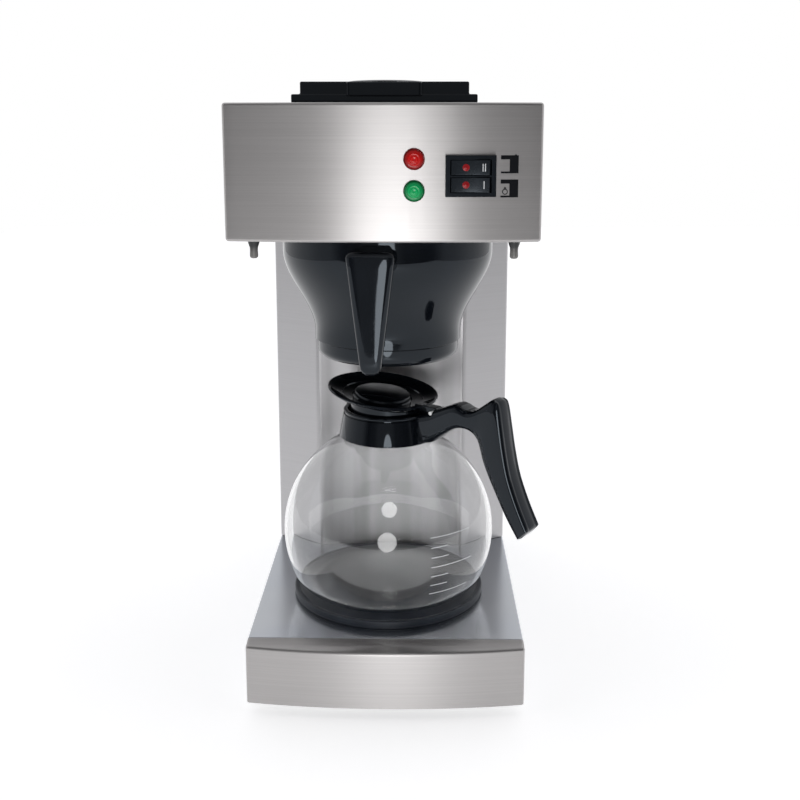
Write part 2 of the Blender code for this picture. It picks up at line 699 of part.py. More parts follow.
def stepped_block(name, half_x, half_y, low, mid, high, step, coat):
    """A rectangular slab from low to mid that carries a smaller block from mid to high."""
    mesh = box_mesh(name, (-half_x, -half_y, min(low, mid)), (half_x, half_y, max(low, mid)))
    bm = bmesh.new()
    bm.from_mesh(mesh)
    side = "+Z" if high > mid else "-Z"
    lid = [face for face in bm.faces if facing(face, side)]
    bmesh.ops.inset_region(bm, faces=lid, thickness=step, use_even_offset=True)
    raised = bmesh.ops.extrude_face_region(bm, geom=lid)
    moved = [item for item in raised["geom"] if isinstance(item, bmesh.types.BMVert)]
    bmesh.ops.delete(bm, geom=lid, context="FACES_ONLY")
    bmesh.ops.translate(bm, verts=moved, vec=(0, 0, high - mid))
    bmesh.ops.recalc_face_normals(bm, faces=bm.faces)
    bm.to_mesh(mesh)
    bm.free()
    return add(name, mesh, coat)


def make_switches(panel):
    place = on_head_front(SWITCH_X, SWITCH_RISE)
    half_x = SWITCH_WIDTH / 2
    half_z = SWITCH_HEIGHT / 2
    window_x = hypot(ROCKER_HALF_LENGTH, ROCKER_NOSE) + GAP
    window_z = ROCKER_HEIGHT / 2 + GAP
    # Local +Z points out of the panel, so the sleeve runs from the rim's back to -SWITCH_DEPTH
    frame = stepped_block("switch_frame", half_x, half_z, GAP + SWITCH_RIM, GAP, -SWITCH_DEPTH,
                          SWITCH_SLEEVE_INSET, BLACK)
    frame.matrix_local = place
    bevel(frame, SHEET / 3)
    sleeve_x = half_x - SWITCH_SLEEVE_INSET + GAP
    sleeve_z = half_z - SWITCH_SLEEVE_INSET + GAP
    cut_box(panel, "switch_opening", (-sleeve_x, -sleeve_z, -3 * BEND), (sleeve_x, sleeve_z, 3 * BEND), place)

    radius = hypot(ROCKER_HALF_LENGTH, ROCKER_NOSE)
    nose = asin(ROCKER_NOSE / radius)
    tail = asin(ROCKER_BACK / radius)
    outline = [(0, ROCKER_VALLEY)]
    steps = 5
    for i in range(steps + 1):
        angle = nose - (nose + tail) * i / steps
        outline.append((radius * cos(angle), radius * sin(angle)))
    outline += [(-x, y) for x, y in reversed(outline[1:])]
    front = GAP + SWITCH_RIM - ROCKER_PIVOT
    for name, rise in (("upper", ROCKER_PITCH / 2), ("lower", -ROCKER_PITCH / 2)):
        cut_box(frame, f"rocker_window_{name}", (-window_x, rise - window_z, -2 * SWITCH_DEPTH),
                (window_x, rise + window_z, SWITCH_DEPTH), place)
        # The rocker's outline lies in the plane across its upright hinge axis
        hinge = place @ Matrix.Translation((0, rise, front)) @ Matrix.Rotation(radians(90), 4, "X")
        rest = Matrix.Rotation(ROCKER_THROW / 2, 4, "Z")
        rocker = flat(f"rocker_{name}", outline, -ROCKER_HEIGHT / 2, ROCKER_HEIGHT / 2, BLACK, hinge @ rest)
        bevel(rocker, SHEET / 3)
    back = -SWITCH_DEPTH - GAP
    block = box("switch_body", (-half_x + BEND, -half_z + BEND, back - SWITCH_DEPTH),
                (half_x - BEND, half_z - BEND, back), BLACK_MATTE, SHEET)
    block.matrix_local = place


# ---------------------------------------------------------------- fill opening, tank and spray

def make_basin(shell):
    half_x = LID_WIDTH / 2 - LID_STEP - LID_WALL - SHEET - BASIN_FLANGE
    front = LID_FRONT + LID_STEP + LID_WALL + SHEET + BASIN_FLANGE
    rear = LID_FRONT + LID_DEPTH - LID_STEP - LID_WALL - SHEET - BASIN_FLANGE
    rim = HEAD_TOP + GAP
    mesh = box_mesh("inlet_basin", (-half_x, front, BASIN_FLOOR), (half_x, rear, rim))
    open_faces(mesh, ["+Z"])
    bm = bmesh.new()
    bm.from_mesh(mesh)
    edge = [item for item in bm.edges if item.is_boundary]
    flange = bmesh.ops.extrude_edge_only(bm, edges=edge)
    for item in flange["geom"]:
        if isinstance(item, bmesh.types.BMVert):
            item.co.x += BASIN_FLANGE if item.co.x > 0 else -BASIN_FLANGE
            item.co.y += BASIN_FLANGE if item.co.y > (front + rear) / 2 else -BASIN_FLANGE
    bmesh.ops.recalc_face_normals(bm, faces=bm.faces)
    floor = min(bm.faces, key=lambda face: face.calc_center_median().z)
    if floor.normal.z > 0:
        bmesh.ops.reverse_faces(bm, faces=bm.faces)
    bm.to_mesh(mesh)
    bm.free()
    basin = add("inlet_basin", mesh, INNER_STEEL)
    thicken(basin, SHEET)
    cut_box(shell, "basin_opening", (-half_x - GAP, front - GAP, HEAD_TOP - 3 * BEND),
            (half_x + GAP, rear + GAP, HEAD_TOP + BEND))
    drain_x = -half_x / 2
    drain_y = rear - 2 * TUBE_BEND
    drill(basin, "basin_drain", TUBE_RADIUS + GAP, at(drain_x, drain_y, BASIN_FLOOR), 4 * SHEET)
    return drain_x, drain_y


def make_basin_lid():
    low = HEAD_TOP + GAP
    top = low + LID_HEIGHT
    middle = LID_FRONT + LID_DEPTH / 2
    half_x = LID_WIDTH / 2
    half_y = LID_DEPTH / 2
    lid = stepped_block("basin_lid", half_x, half_y, low, low + LID_FLANGE, top, LID_STEP, BLACK)
    lid.matrix_local = at(0, middle, 0)
    bevel(lid, SHEET)
    inner_x = half_x - LID_STEP - LID_WALL
    inner_y = half_y - LID_STEP - LID_WALL
    cut_box(lid, "lid_hollow", (-inner_x, middle - inner_y, low - BEND), (inner_x, middle + inner_y, top - LID_WALL))
    seat = top + GAP
    cap = [(0, seat + CAP_DOME), (CAP_RADIUS / 2, seat + CAP_DOME * 0.9), (CAP_RADIUS - SHEET, seat + SHEET),
           (CAP_RADIUS, seat + SHEET / 2), (CAP_RADIUS, seat), (0, seat)]
    turned("lid_cap", cap, BLACK, at(0, LID_FRONT + LID_STEP + CAP_RADIUS + SHEET))


def make_water_path(drain_x, drain_y):
    folded_box("water_tank", (-TANK_HALF, TANK_FRONT, TANK_BOTTOM), (TANK_HALF, TANK_REAR, TANK_TOP), ["+Z"],
               INNER_STEEL)
    cover_low = TANK_TOP + GAP
    cover = box("tank_lid", (-TANK_HALF, TANK_FRONT, cover_low), (TANK_HALF, TANK_REAR, cover_low + SHEET),
                INNER_STEEL)

    inlet_y = TANK_FRONT + 2 * TUBE_BEND
    fill = [(drain_x, drain_y, BASIN_FLOOR - GAP), (drain_x, drain_y, TUBE_LEVEL), (drain_x, inlet_y, TUBE_LEVEL),
            (drain_x, inlet_y, TANK_BOTTOM + TUBE_BEND)]
    bend = min(TUBE_BEND, (BASIN_FLOOR - TUBE_LEVEL) * 0.9)
    bent_tube("fill_tube", fill, TUBE_RADIUS, bend, SILICONE)
    drill(cover, "fill_tube_hole", TUBE_RADIUS + GAP, at(drain_x, inlet_y, TANK_TOP), 6 * SHEET)

    spray_low = HEAD_BOTTOM + GAP
    spray_top = spray_low + SPRAY_HEIGHT
    seat = HEAD_BOTTOM + SHEET + GAP
    inner = SPRAY_RADIUS - BEND
    rose = [(0, spray_low + BEND), (inner, spray_low + BEND), (inner, spray_top - BEND),
            (TUBE_RADIUS + GAP, spray_top - BEND), (TUBE_RADIUS + GAP, spray_top), (SPRAY_RADIUS, spray_top),
            (SPRAY_RADIUS, seat + BEND), (SPRAY_RADIUS + SPRAY_FLANGE, seat + BEND),
            (SPRAY_RADIUS + SPRAY_FLANGE, seat), (SPRAY_RADIUS, seat), (SPRAY_RADIUS, spray_low), (0, spray_low)]
    head = turned("spray_head", rose, PLASTIC, at(0, BREW_Y), 24)
    ring = inner * 0.6
    for number in range(6):
        angle = number * pi / 3
        drill(head, f"spray_hole_{number}", SHEET, at(ring * cos(angle), BREW_Y + ring * sin(angle), spray_low),
              3 * BEND)

    outlet_x = -drain_x
    spray = [(0, BREW_Y, spray_top - SHEET), (0, BREW_Y, TUBE_LEVEL), (outlet_x, TANK_FRONT - TUBE_BEND, TUBE_LEVEL),
             (outlet_x, inlet_y, TUBE_LEVEL), (outlet_x, inlet_y, TANK_TOP - TUBE_BEND / 2)]
    spray_bend = min(bend, TUBE_LEVEL - TANK_TOP)
    bent_tube("spray_tube", spray, TUBE_RADIUS, spray_bend, SILICONE)
    drill(cover, "spray_tube_hole", TUBE_RADIUS + GAP, at(outlet_x, inlet_y, TANK_TOP), 6 * SHEET)

    heater_y = TANK_REAR - 2 * TUBE_BEND
    leg = HEATER_SPREAD / 2
    top = cover_low + SHEET + TUBE_BEND
    low = TANK_BOTTOM + TUBE_BEND
    bent_tube("tank_heater", [(-leg, heater_y, top), (-leg, heater_y, low), (leg, heater_y, low), (leg, heater_y, top)],
              HEATER_RADIUS, TUBE_BEND, HEATER)
    for side, x in (("left", -leg), ("right", leg)):
        drill(cover, f"heater_hole_{side}", HEATER_RADIUS + GAP, at(x, heater_y, TANK_TOP), 6 * SHEET)

    sensor = [(0, TUBE_BEND), (HEATER_RADIUS, TUBE_BEND), (HEATER_RADIUS, TUBE_BEND / 2),
              (2 * HEATER_RADIUS, TUBE_BEND / 2), (2 * HEATER_RADIUS, GAP), (0, GAP)]
    sensor_z = (TANK_TOP + TANK_BOTTOM) / 2
    turned("thermostat", sensor, BLACK_MATTE, at(0, TANK_FRONT, sensor_z) @ TOWARDS_FRONT, SMALL_STEPS)


def make_terminals():
    low = FOOT_HEIGHT + 2 * SHEET + GAP
    x = HALF_WIDTH / 2
    y = WING_Y + TANK_END_MARGIN
    half = 2 * FOOT_RADIUS
    block = box("terminal_block", (x - half, y, low), (x + half, y + half, low + half / 2), PLASTIC, SHEET)
    for number in range(4):
        place = at(x + half * (number - 1.5) / 2, y + half / 2, low + half / 2)
        drill(block, f"terminal_{number}", SCREW_SHANK, place, half / 2)


# ---------------------------------------------------------------- brew basket

def basket_outer(height):
    """Outer radius of the bowl at a height above its bottom: a smooth step between two widths."""
    low = BASKET_FOOT_HEIGHT
    high = BASKET_HEIGHT - 11.6 * MM
    t = min(max((height - low) / (high - low), 0.0), 1.0)
    return BASKET_RADIUS - BASKET_STEP * (1 - t * t * (3 - 2 * t))


def make_basket():
    steps = 8
    top = BASKET_HEIGHT
    high = top - FLANGE_THICK
    heights = [high - (high - BASKET_FOOT_HEIGHT) * i / steps for i in range(steps + 1)]
    foot = BASKET_RADIUS - BASKET_STEP - BASKET_FOOT_INSET
    outer = [(basket_outer(height), height) for height in heights] + [(foot, 0)]
    inner = [(radius - BASKET_WALL, height) for radius, height in outer[:-1]]
    inner_foot = (foot - BASKET_WALL / 2, BASKET_WALL)
    profile = [(FLANGE_RADIUS, top), (FLANGE_RADIUS, high)] + outer
    profile += [(BASKET_DRAIN, 0), (BASKET_DRAIN, BASKET_WALL), inner_foot]
    profile += [*reversed(inner[1:]), (inner[0][0], top)]
    place = at(0, BREW_Y, BASKET_BOTTOM)
    basket = turned("brew_basket", profile, BLACK, place, 48, closed=True)

    turn = Matrix.Rotation(-BASKET_HANDLE_TURN, 4, "Z")
    # Local frame of the handle: X runs out of the bowl, Y is up, Z is across
    outward = turn @ Matrix(((0, 0, -1, 0), (-1, 0, 0, 0), (0, 1, 0, 0), (0, 0, 0, 1)))
    face = BASKET_RADIUS + GAP
    front = BASKET_RADIUS + BASKET_HANDLE_REACH
    back = front - BASKET_HANDLE_THICK
    arm_top = top - BASKET_HANDLE_DROP
    arm_low = arm_top - BASKET_HANDLE_ARM
    tip = 5.6 * MM
    thin = BASKET_HANDLE_THICK * 0.35
    outline = [(face, arm_top), (front - thin, arm_top), (front, arm_top - thin), (front, tip + thin),
               (front - thin, tip), (back + thin, tip), (back, tip + thin), (back, arm_low - thin),
               (back - thin, arm_low), (face, arm_low)]
    half = BASKET_HANDLE_TOP / 2
    grip = flat("basket_handle", outline, -half, half, BLACK, place @ outward)
    shrink = BASKET_HANDLE_TIP / BASKET_HANDLE_TOP
    offset = grip.matrix_basis.inverted() @ (place @ outward)
    for vertex in grip.data.vertices:
        spot = offset.inverted() @ vertex.co
        share = min(max((spot.y - tip) / (arm_low - tip), 0.0), 1.0)
        spot.z *= shrink + (1 - shrink) * share
        vertex.co = offset @ spot
    bevel(grip, BEND)

    screw_z = (arm_top + arm_low) / 2
    along = at(0, BREW_Y, BASKET_BOTTOM + screw_z) @ turn @ TOWARDS_FRONT
    inside = basket_outer(screw_z) - BASKET_WALL - 3 * GAP
    head = inside - SCREW_HEAD_HEIGHT
    tip_at = face + SCREW_LENGTH
    screw = [(0, tip_at), (SCREW_SHANK, tip_at), (SCREW_SHANK, inside), (SCREW_HEAD, inside),
             (SCREW_HEAD, head), (0, head)]
    turned("basket_screw", screw, ZINC, along, SMALL_STEPS)
    hole = drill(basket, "basket_screw_hole", SCREW_SHANK + GAP, along @ at(0, 0, face), 4 * SCREW_HEAD)
    boolean(grip, hole)
    bore = as_cutter(pillar("grip_bore", SCREW_SHANK + GAP, face - BEND, tip_at + GAP, STEEL, along), "grip_bore")
    boolean(grip, bore)


# ---------------------------------------------------------------- decanter

def arc(centre_r, centre_z, radius, start, end, steps):
    """Points (radius, height) on an arc, its angles counted from +radius towards +height."""
    points = []
    for i in range(steps + 1):
        angle = start + (end - start) * i / steps
        points.append((centre_r + radius * cos(angle), centre_z + radius * sin(angle)))
    return points


def glass_wall(offset):
    """One side of the glass from the mouth down to the axis, moved inwards by offset."""
    globe = GLOBE_RADIUS - offset
    heel = GLOBE_HEEL_RADIUS - offset
    fillet = NECK_FILLET + offset
    shoulder = asin(FILLET_RISE / (GLOBE_RADIUS + NECK_FILLET))
    toe = -asin(HEEL_RISE / (GLOBE_RADIUS - GLOBE_HEEL_RADIUS))
    side = [(NECK_RADIUS - offset, NECK_TOP)]
    side += arc(NECK_RADIUS + NECK_FILLET, NECK_Z, fillet, pi, pi + shoulder, 3)
    side += arc(0, GLOBE_Z, globe, shoulder, toe, 13)[1:]
    side += arc(GLOBE_FLAT, GLASS_BOTTOM + GLOBE_HEEL_RADIUS, heel, toe, -pi / 2, 3)[1:]
    side.append((0, GLASS_BOTTOM + offset))
    return side


def handle_frame():
    """Local X runs from the decanter's axis towards the handle, Y is up, Z is across."""
    turn = Matrix.Rotation(-HANDLE_TURN, 4, "Z")
    return at(0, BREW_Y, 0) @ turn @ TOWARDS_FRONT


def make_decanter():
    place = at(0, BREW_Y)
    outside = glass_wall(0.0)
    inside = glass_wall(GLASS_WALL)
    turned("decanter_glass", [*reversed(inside), *outside], GLASS, place)

    seat = COLLAR_BOTTOM + GAP
    clear = NECK_RADIUS + GAP
    flare = COLLAR_BOTTOM_RADIUS - SHEET
    rim = NECK_TOP + GAP
    collar = [(COLLAR_TOP_RADIUS, COLLAR_TOP), (COLLAR_BOTTOM_RADIUS, seat), (flare, seat), (clear, NECK_Z + SHEET),
              (clear, rim), (COLLAR_MOUTH, rim), (COLLAR_MOUTH, COLLAR_TOP)]
    turned("decanter_collar", collar, BLACK, place, closed=True)
    make_handle()
    make_decanter_lid()


def make_handle():
    frame = handle_frame()
    base = COLLAR_BOTTOM
    # Each point is how far it stands out from the collar's top and how far above the collar's foot
    top = [(9.4, 27.5), (30.4, 36.5), (36.4, 36), (43.4, 33.5), (50.4, 35.5), (57.4, 40.5), (65.4, 45.5)]
    outer = [(69.4, 44.5), (72.4, 40), (75.4, 20), (78.9, 2), (85.9, -23), (98.9, -48.5)]
    inner = [(88.9, -58), (75.4, -37), (63.4, -15), (55.9, 2), (51.4, 13), (45.4, 18.5), (33.4, 18), (21.4, 11),
             (9.4, 2.5)]
    root = COLLAR_TOP_RADIUS - BEND
    outline = [(root, 24 * MM + base)]
    outline += [(COLLAR_TOP_RADIUS + x * MM, base + z * MM) for x, z in top + outer + inner]
    outline.append((root, base + SHEET))
    half = HANDLE_WIDTH / 2
    handle = flat("decanter_handle", outline, -half, half, BLACK, frame)
    bevel(handle, 2 * BEND, 3, 40)

    reach = COLLAR_HEIGHT
    grow = GAP / 2 + GAP
    slope = (COLLAR_BOTTOM_RADIUS - COLLAR_TOP_RADIUS) / COLLAR_HEIGHT
    seat = [(0, COLLAR_TOP + reach), (COLLAR_TOP_RADIUS - slope * reach + grow, COLLAR_TOP + reach),
            (COLLAR_BOTTOM_RADIUS + slope * reach + grow, COLLAR_BOTTOM - reach), (0, COLLAR_BOTTOM - reach)]
    boolean(handle, as_cutter(turned("collar_seat", seat, STEEL, at(0, BREW_Y)), "collar_seat"))

    pin = frame @ at(PIN_REACH, PIN_Z, 0)
    notch = LUG_WIDTH / 2 + GAP
    wide = LUG_RADIUS + LUG_NOTCH
    cut_box(handle, "lug_notch", (-4 * wide, -wide, -notch), (wide, 4 * wide, notch), pin)
    drill(handle, "pin_hole", PIN_RADIUS + GAP, pin, 2 * HANDLE_WIDTH)
    length = half - SHEET
    pillar("lid_pin", PIN_RADIUS, -length, length, ZINC, pin)


def make_decanter_lid():
    """A dish that leans towards the handle, on a plug in the collar, with a lug for the pin."""
    wall = 1.6 * MM
    floor = -6.5 * MM
    boss = LID_BOSS_RADIUS
    rim = LID_DISH_RADIUS
    dish = [(0, LID_BOSS_HEIGHT - wall / 2), (boss - BEND, LID_BOSS_HEIGHT), (boss, LID_BOSS_HEIGHT - wall / 2),
            (boss, floor + BEND), (boss + BEND, floor), (rim - 2 * wall, -wall / 2), (rim - wall / 2, 0),
            (rim, -wall / 2), (rim - wall, -1.4 * wall), (boss + 2 * BEND, floor - wall), (0, floor - wall)]
    lean = handle_frame() @ at(-LID_DISH_SHIFT, DISH_Z, 0)
    # Turning about the local Z, which lies across the handle, lowers the side next to the handle
    tilt = lean @ Matrix.Rotation(-LID_TILT, 4, "Z") @ Matrix.Rotation(radians(-90), 4, "X")
    lid = turned("decanter_lid", dish, BLACK, tilt)

    plug_low = COLLAR_TOP - LID_PLUG_DEPTH
    plug_high = DISH_Z + floor - wall / 2
    inner = LID_PLUG_RADIUS - BEND
    plug = [(LID_PLUG_RADIUS, plug_high), (LID_PLUG_RADIUS, plug_low), (inner, plug_low), (inner, plug_high)]
    skirt = turned("lid_plug", plug, BLACK, at(0, BREW_Y), 32, closed=True)
    boolean(lid, as_cutter(skirt, "lid_plug"), "UNION")

    pin = handle_frame() @ at(PIN_REACH, PIN_Z, 0)
    arm_start = -(PIN_REACH - boss - 3 * BEND)
    arm_rise = plug_high - PIN_Z
    steps = 8
    lug = [(LUG_RADIUS * sin(pi * i / steps), LUG_RADIUS * -cos(pi * i / steps)) for i in range(steps + 1)]
    lug += [(arm_start, arm_rise + BEND), (arm_start, arm_rise - BEND)]
    half = LUG_WIDTH / 2
    arm = flat("lid_lug", lug, -half, half, BLACK, pin)
    drill(arm, "lug_bore", PIN_RADIUS + GAP, pin, 2 * LUG_WIDTH)
    boolean(lid, as_cutter(arm, "lid_lug"), "UNION")


# ---------------------------------------------------------------- assembly

def stand_over_origin():
    """Move the machine so that the middle of its box is over the origin."""
    bpy.context.view_layer.update()
    depsgraph = bpy.context.evaluated_depsgraph_get()
    corners = []
    for piece in MODEL.objects:
        if piece.type == "MESH":
            ready = piece.evaluated_get(depsgraph)
            corners += [piece.matrix_world @ Vector(corner) for corner in ready.bound_box]
    ROOT.location.x = -(min(c.x for c in corners) + max(c.x for c in corners)) / 2
    ROOT.location.y = -(min(c.y for c in corners) + max(c.y for c in corners)) / 2
    bpy.context.view_layer.update()


make_base()
make_warmer(BASE_TOP, BREW_Y, "lower")
make_warmer(HEAD_TOP, UPPER_Y, "upper")
make_rear(make_column())
head_shell, head_panel = make_head()
make_rails()
make_lenses(head_panel)
make_switches(head_panel)
drain = make_basin(head_shell)
make_basin_lid()
make_water_path(*drain)
make_terminals()
make_basket()
make_decanter()
for cutter in CUTTERS.objects:
    cutter.parent = ROOT
stand_over_origin()
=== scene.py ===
import json
from math import asin, atan2, ceil, cos, degrees, pi, radians, sin, sqrt

import bmesh
import bpy
from mathutils import Matrix, Vector
from mathutils.bvhtree import BVHTree


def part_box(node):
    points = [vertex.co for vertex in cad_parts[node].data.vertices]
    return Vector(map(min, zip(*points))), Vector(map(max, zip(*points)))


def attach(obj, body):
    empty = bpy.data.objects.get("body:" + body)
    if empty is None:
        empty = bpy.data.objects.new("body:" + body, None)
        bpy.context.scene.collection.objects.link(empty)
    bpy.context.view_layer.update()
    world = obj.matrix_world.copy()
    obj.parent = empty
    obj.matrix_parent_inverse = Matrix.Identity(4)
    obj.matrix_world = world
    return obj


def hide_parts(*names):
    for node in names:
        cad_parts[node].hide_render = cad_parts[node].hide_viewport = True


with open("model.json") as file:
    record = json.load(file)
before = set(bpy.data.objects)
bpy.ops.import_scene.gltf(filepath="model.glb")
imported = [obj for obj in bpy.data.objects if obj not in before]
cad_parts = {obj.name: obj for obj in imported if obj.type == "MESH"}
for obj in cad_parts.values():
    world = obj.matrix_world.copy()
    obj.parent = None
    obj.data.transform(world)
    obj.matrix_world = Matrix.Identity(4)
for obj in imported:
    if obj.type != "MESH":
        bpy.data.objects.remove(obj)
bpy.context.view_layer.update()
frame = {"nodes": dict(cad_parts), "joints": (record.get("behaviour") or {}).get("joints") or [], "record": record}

MM = 0.001
# Turned profiles start this far from their axis
AXIS = 0.01 * MM

# ---------------------------------------------------------------- places taken from the frame

NODES = frame["nodes"]
BODY_OF = {node: body for body, nodes in frame["record"]["behaviour"]["bodies"].items() for node in nodes}
UP = Vector((0, 0, 1))


def middle(node):
    low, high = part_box(node)
    return (low + high) / 2


def joint(name):
    return next(item for item in frame["joints"] if item["name"] == name)


PLATE = middle("lower_warmer_plate")
PLATE_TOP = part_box("lower_warmer_plate")[1].z
HEAD_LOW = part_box("head_front_panel")[0]
BREW_AXIS = Vector((PLATE.x, PLATE.y, 0))
LID_PIN = Vector(joint("decanter_lid_hinge")["pos_m"])
# Frame of the decanter's handle: X runs out of the collar, Y is up, Z lies across the handle
OUT = (LID_PIN - BREW_AXIS - UP * LID_PIN.z).normalized()
HANDLE_FRAME = Matrix.Translation(BREW_AXIS) @ Matrix((OUT, UP, OUT.cross(UP))).transposed().to_4x4()

# ---------------------------------------------------------------- shader expressions


class Value:
    """A shader socket that can be worked with in Python expressions."""

    def __init__(self, graph, socket):
        self.graph = graph
        self.socket = socket

    def _math(self, operation, *inputs):
        return self.graph.node("ShaderNodeMath", {"operation": operation}, dict(enumerate(inputs)))

    def __add__(self, other):
        return self._math("ADD", self, other)

    def __radd__(self, other):
        return self._math("ADD", other, self)

    def __sub__(self, other):
        return self._math("SUBTRACT", self, other)

    def __rsub__(self, other):
        return self._math("SUBTRACT", other, self)

    def __mul__(self, other):
        return self._math("MULTIPLY", self, other)

    def __rmul__(self, other):
        return self._math("MULTIPLY", other, self)

    def __truediv__(self, other):
        return self._math("DIVIDE", self, other)

    def __rtruediv__(self, other):
        return self._math("DIVIDE", other, self)

    def __gt__(self, other):
        return self._math("GREATER_THAN", self, other)

    def __lt__(self, other):
        return self._math("LESS_THAN", self, other)

    def smooth(self, low, high):
        """0 below low, 1 above high, and a smooth step between."""
        return self.graph.node("ShaderNodeMapRange", {"interpolation_type": "SMOOTHSTEP"},
                               {"Value": self, "From Min": low, "From Max": high}, "Result")


class Graph:
    """Adds nodes to one node tree, each from its type, its settings and its inputs."""

    def __init__(self, tree):
        self.tree = tree

    def node(self, kind, settings=None, inputs=None, output=0):
        """Add a node: its settings first, then the values or links of its sockets."""
        node = self.tree.nodes.new(kind)
        for key, value in (settings or {}).items():
            if key == "stops":
                self._set_stops(node.color_ramp, value)
            else:
                setattr(node, key, value)
        for key, value in (inputs or {}).items():
            self.join(node.inputs[key], value)
        return Value(self, node.outputs[output])

    def _set_stops(self, ramp, stops):
        """Give a ramp its colours, with an eased run from each to the next."""
        ramp.interpolation = "EASE"
        while len(ramp.elements) < len(stops):
            ramp.elements.new(0.5)
        for element, (place, colour) in zip(ramp.elements, stops):
            element.position = place
            element.color = (*colour, 1.0)

    def join(self, socket, value):
        """Link a value to a socket, or set the socket to a constant."""
        if isinstance(value, Value):
            self.tree.links.new(value.socket, socket)
        else:
            socket.default_value = value

    def blend(self, factor, first, second):
        """A colour between two others."""
        colours = {6: (*first, 1.0) if isinstance(first, tuple) else first,
                   7: (*second, 1.0) if isinstance(second, tuple) else second}
        return self.node("ShaderNodeMix", {"data_type": "RGBA"}, {"Factor": factor, **colours}, 2)


class Paint(Graph):
    """One material, with the Principled shader that its finish is set on."""

    def __init__(self, name, **settings):
        self.material = bpy.data.materials.new(name)
        self.material.use_nodes = True
        super().__init__(self.material.node_tree)
        self.shader = self.tree.nodes["Principled BSDF"]
        for socket, value in settings.items():
            self.shader.inputs[socket.replace("_", " ")].default_value = value

    def feed(self, socket, value):
        self.join(self.shader.inputs[socket], value)
        return self

    def spot(self):
        """The point on the piece, in metres, in the part's own axes."""
        return self.node("ShaderNodeTexCoord", output="Object")

    def axis(self, letter):
        return self.node("ShaderNodeSeparateXYZ", None, {0: self.spot()}, letter)

    def stretched(self, scales):
        return self.node("ShaderNodeVectorMath", {"operation": "MULTIPLY"}, {0: self.spot(), 1: scales})

    def noise(self, scales, detail=2.0, roughness=0.5):
        """A noise whose bumps come at the given number per metre along each axis."""
        return self.node("ShaderNodeTexNoise", None,
                         {"Vector": self.stretched(scales), "Scale": 1.0, "Detail": detail,
                          "Roughness": roughness})

    def bump(self, height, depth, strength=1.0):
        """Feed the shader's normal with a relief of the given depth in metres."""
        relief = self.node("ShaderNodeBump", None,
                           {"Height": height, "Distance": depth, "Strength": strength})
        return self.feed("Normal", relief)


# ---------------------------------------------------------------- finishes

def brushed_steel(name, along, across, tone=(0.60, 0.60, 0.60), rough=0.36, streak=0.05, anisotropy=0.85,
                  painted_shade_half=None):
    """Steel brushed along the axes that `along` marks; `across` is the rate across its lines.

    With a half width given, the colour between -X and +X of that size is painted darker, with faint lighter
    vertical bands: painted shade and painted reflection streaks for the column's middle facet.
    """
    paint = Paint(name, Metallic=1.0, Anisotropic=anisotropy, Anisotropic_Rotation=0.25)
    fine_rate = tuple(9 if a else across for a in along)
    broad_rate = tuple(3 if a else across * 0.25 for a in along)
    fine = paint.noise(fine_rate, 3.0, 0.6)
    broad = paint.noise(broad_rate, 2.0)
    cloud = paint.noise((16, 16, 16), 2.0)
    grain = fine * 0.75 + broad * 0.25
    dark = tuple(c * (1 - streak) for c in tone)
    light = tuple(min(1.0, c * (1 + streak)) for c in tone)
    shade = paint.blend(grain.smooth(0.32, 0.68), dark, light)
    if painted_shade_half:
        # Painted shade: the middle facet's colour is darkened, and the noise bands are painted vertical reflection
        # streaks across it.
        x = paint.axis("X") - PLATE.x
        painted_reflection_bands = paint.noise((55, 1, 1), 1.0).smooth(0.35, 0.65) * 0.3
        inside = (1 - (x * x).smooth((0.93 * painted_shade_half) ** 2, painted_shade_half ** 2)) * (1 - painted_reflection_bands)
        shade = paint.blend(inside, shade, tuple(c * 0.42 for c in tone))
    paint.feed("Base Color", shade)
    paint.feed("Roughness", rough + (grain - 0.5) * 0.10 + (cloud - 0.5) * 0.04)
    return paint.bump(grain, 0.00002, 0.3).material


def satin_steel(name):
    """The smoother sheet of the base, with a soft sheen and faint wipe marks."""
    paint = Paint(name, Metallic=1.0, Anisotropic=0.3, Anisotropic_Rotation=0.25)
    wipe = paint.noise((9, 60, 60), 3.0)
    haze = paint.noise((13, 13, 13), 3.0)
    paint.feed("Base Color", paint.blend(haze.smooth(0.3, 0.7), (0.53, 0.555, 0.60), (0.57, 0.59, 0.62)))
    paint.feed("Roughness", 0.18 + haze * 0.08 + (wipe - 0.5) * 0.04)
    return paint.bump(wipe, 0.00001, 0.3).material


def gloss_plastic(name, colour=(0.0035, 0.0045, 0.0065), rough=0.05):
    """Moulded black plastic: a deep gloss with a very slight ripple and dusty patches."""
    paint = Paint(name, IOR=1.46, Specular_IOR_Level=0.42, Specular_Tint=(0.80, 0.90, 1.0, 1.0))
    ripple = paint.noise((42, 42, 42), 2.0)
    dust = paint.noise((620, 620, 620), 2.0)
    patch = paint.noise((20, 20, 20), 3.0).smooth(0.45, 0.75)
    lighter = tuple(c * 1.7 for c in colour)
    paint.feed("Base Color", paint.blend(patch, colour, lighter))
    paint.feed("Roughness", rough + patch * 0.04 + (dust > 0.66) * 0.04)
    return paint.bump(ripple, 0.00025, 0.2).material


def grained_plastic(name, colour, rough=0.5, grain_rate=900):
    """Matt moulded plastic with a fine spark-eroded grain."""
    paint = Paint(name)
    grain = paint.noise((grain_rate,) * 3, 2.0)
    tone = paint.noise((25, 25, 25), 2.0)
    darker = tuple(c * 0.8 for c in colour)
    paint.feed("Base Color", paint.blend(tone, darker, colour))
    paint.feed("Roughness", rough + (tone - 0.5) * 0.12)
    return paint.bump(grain, 0.00008, 0.5).material


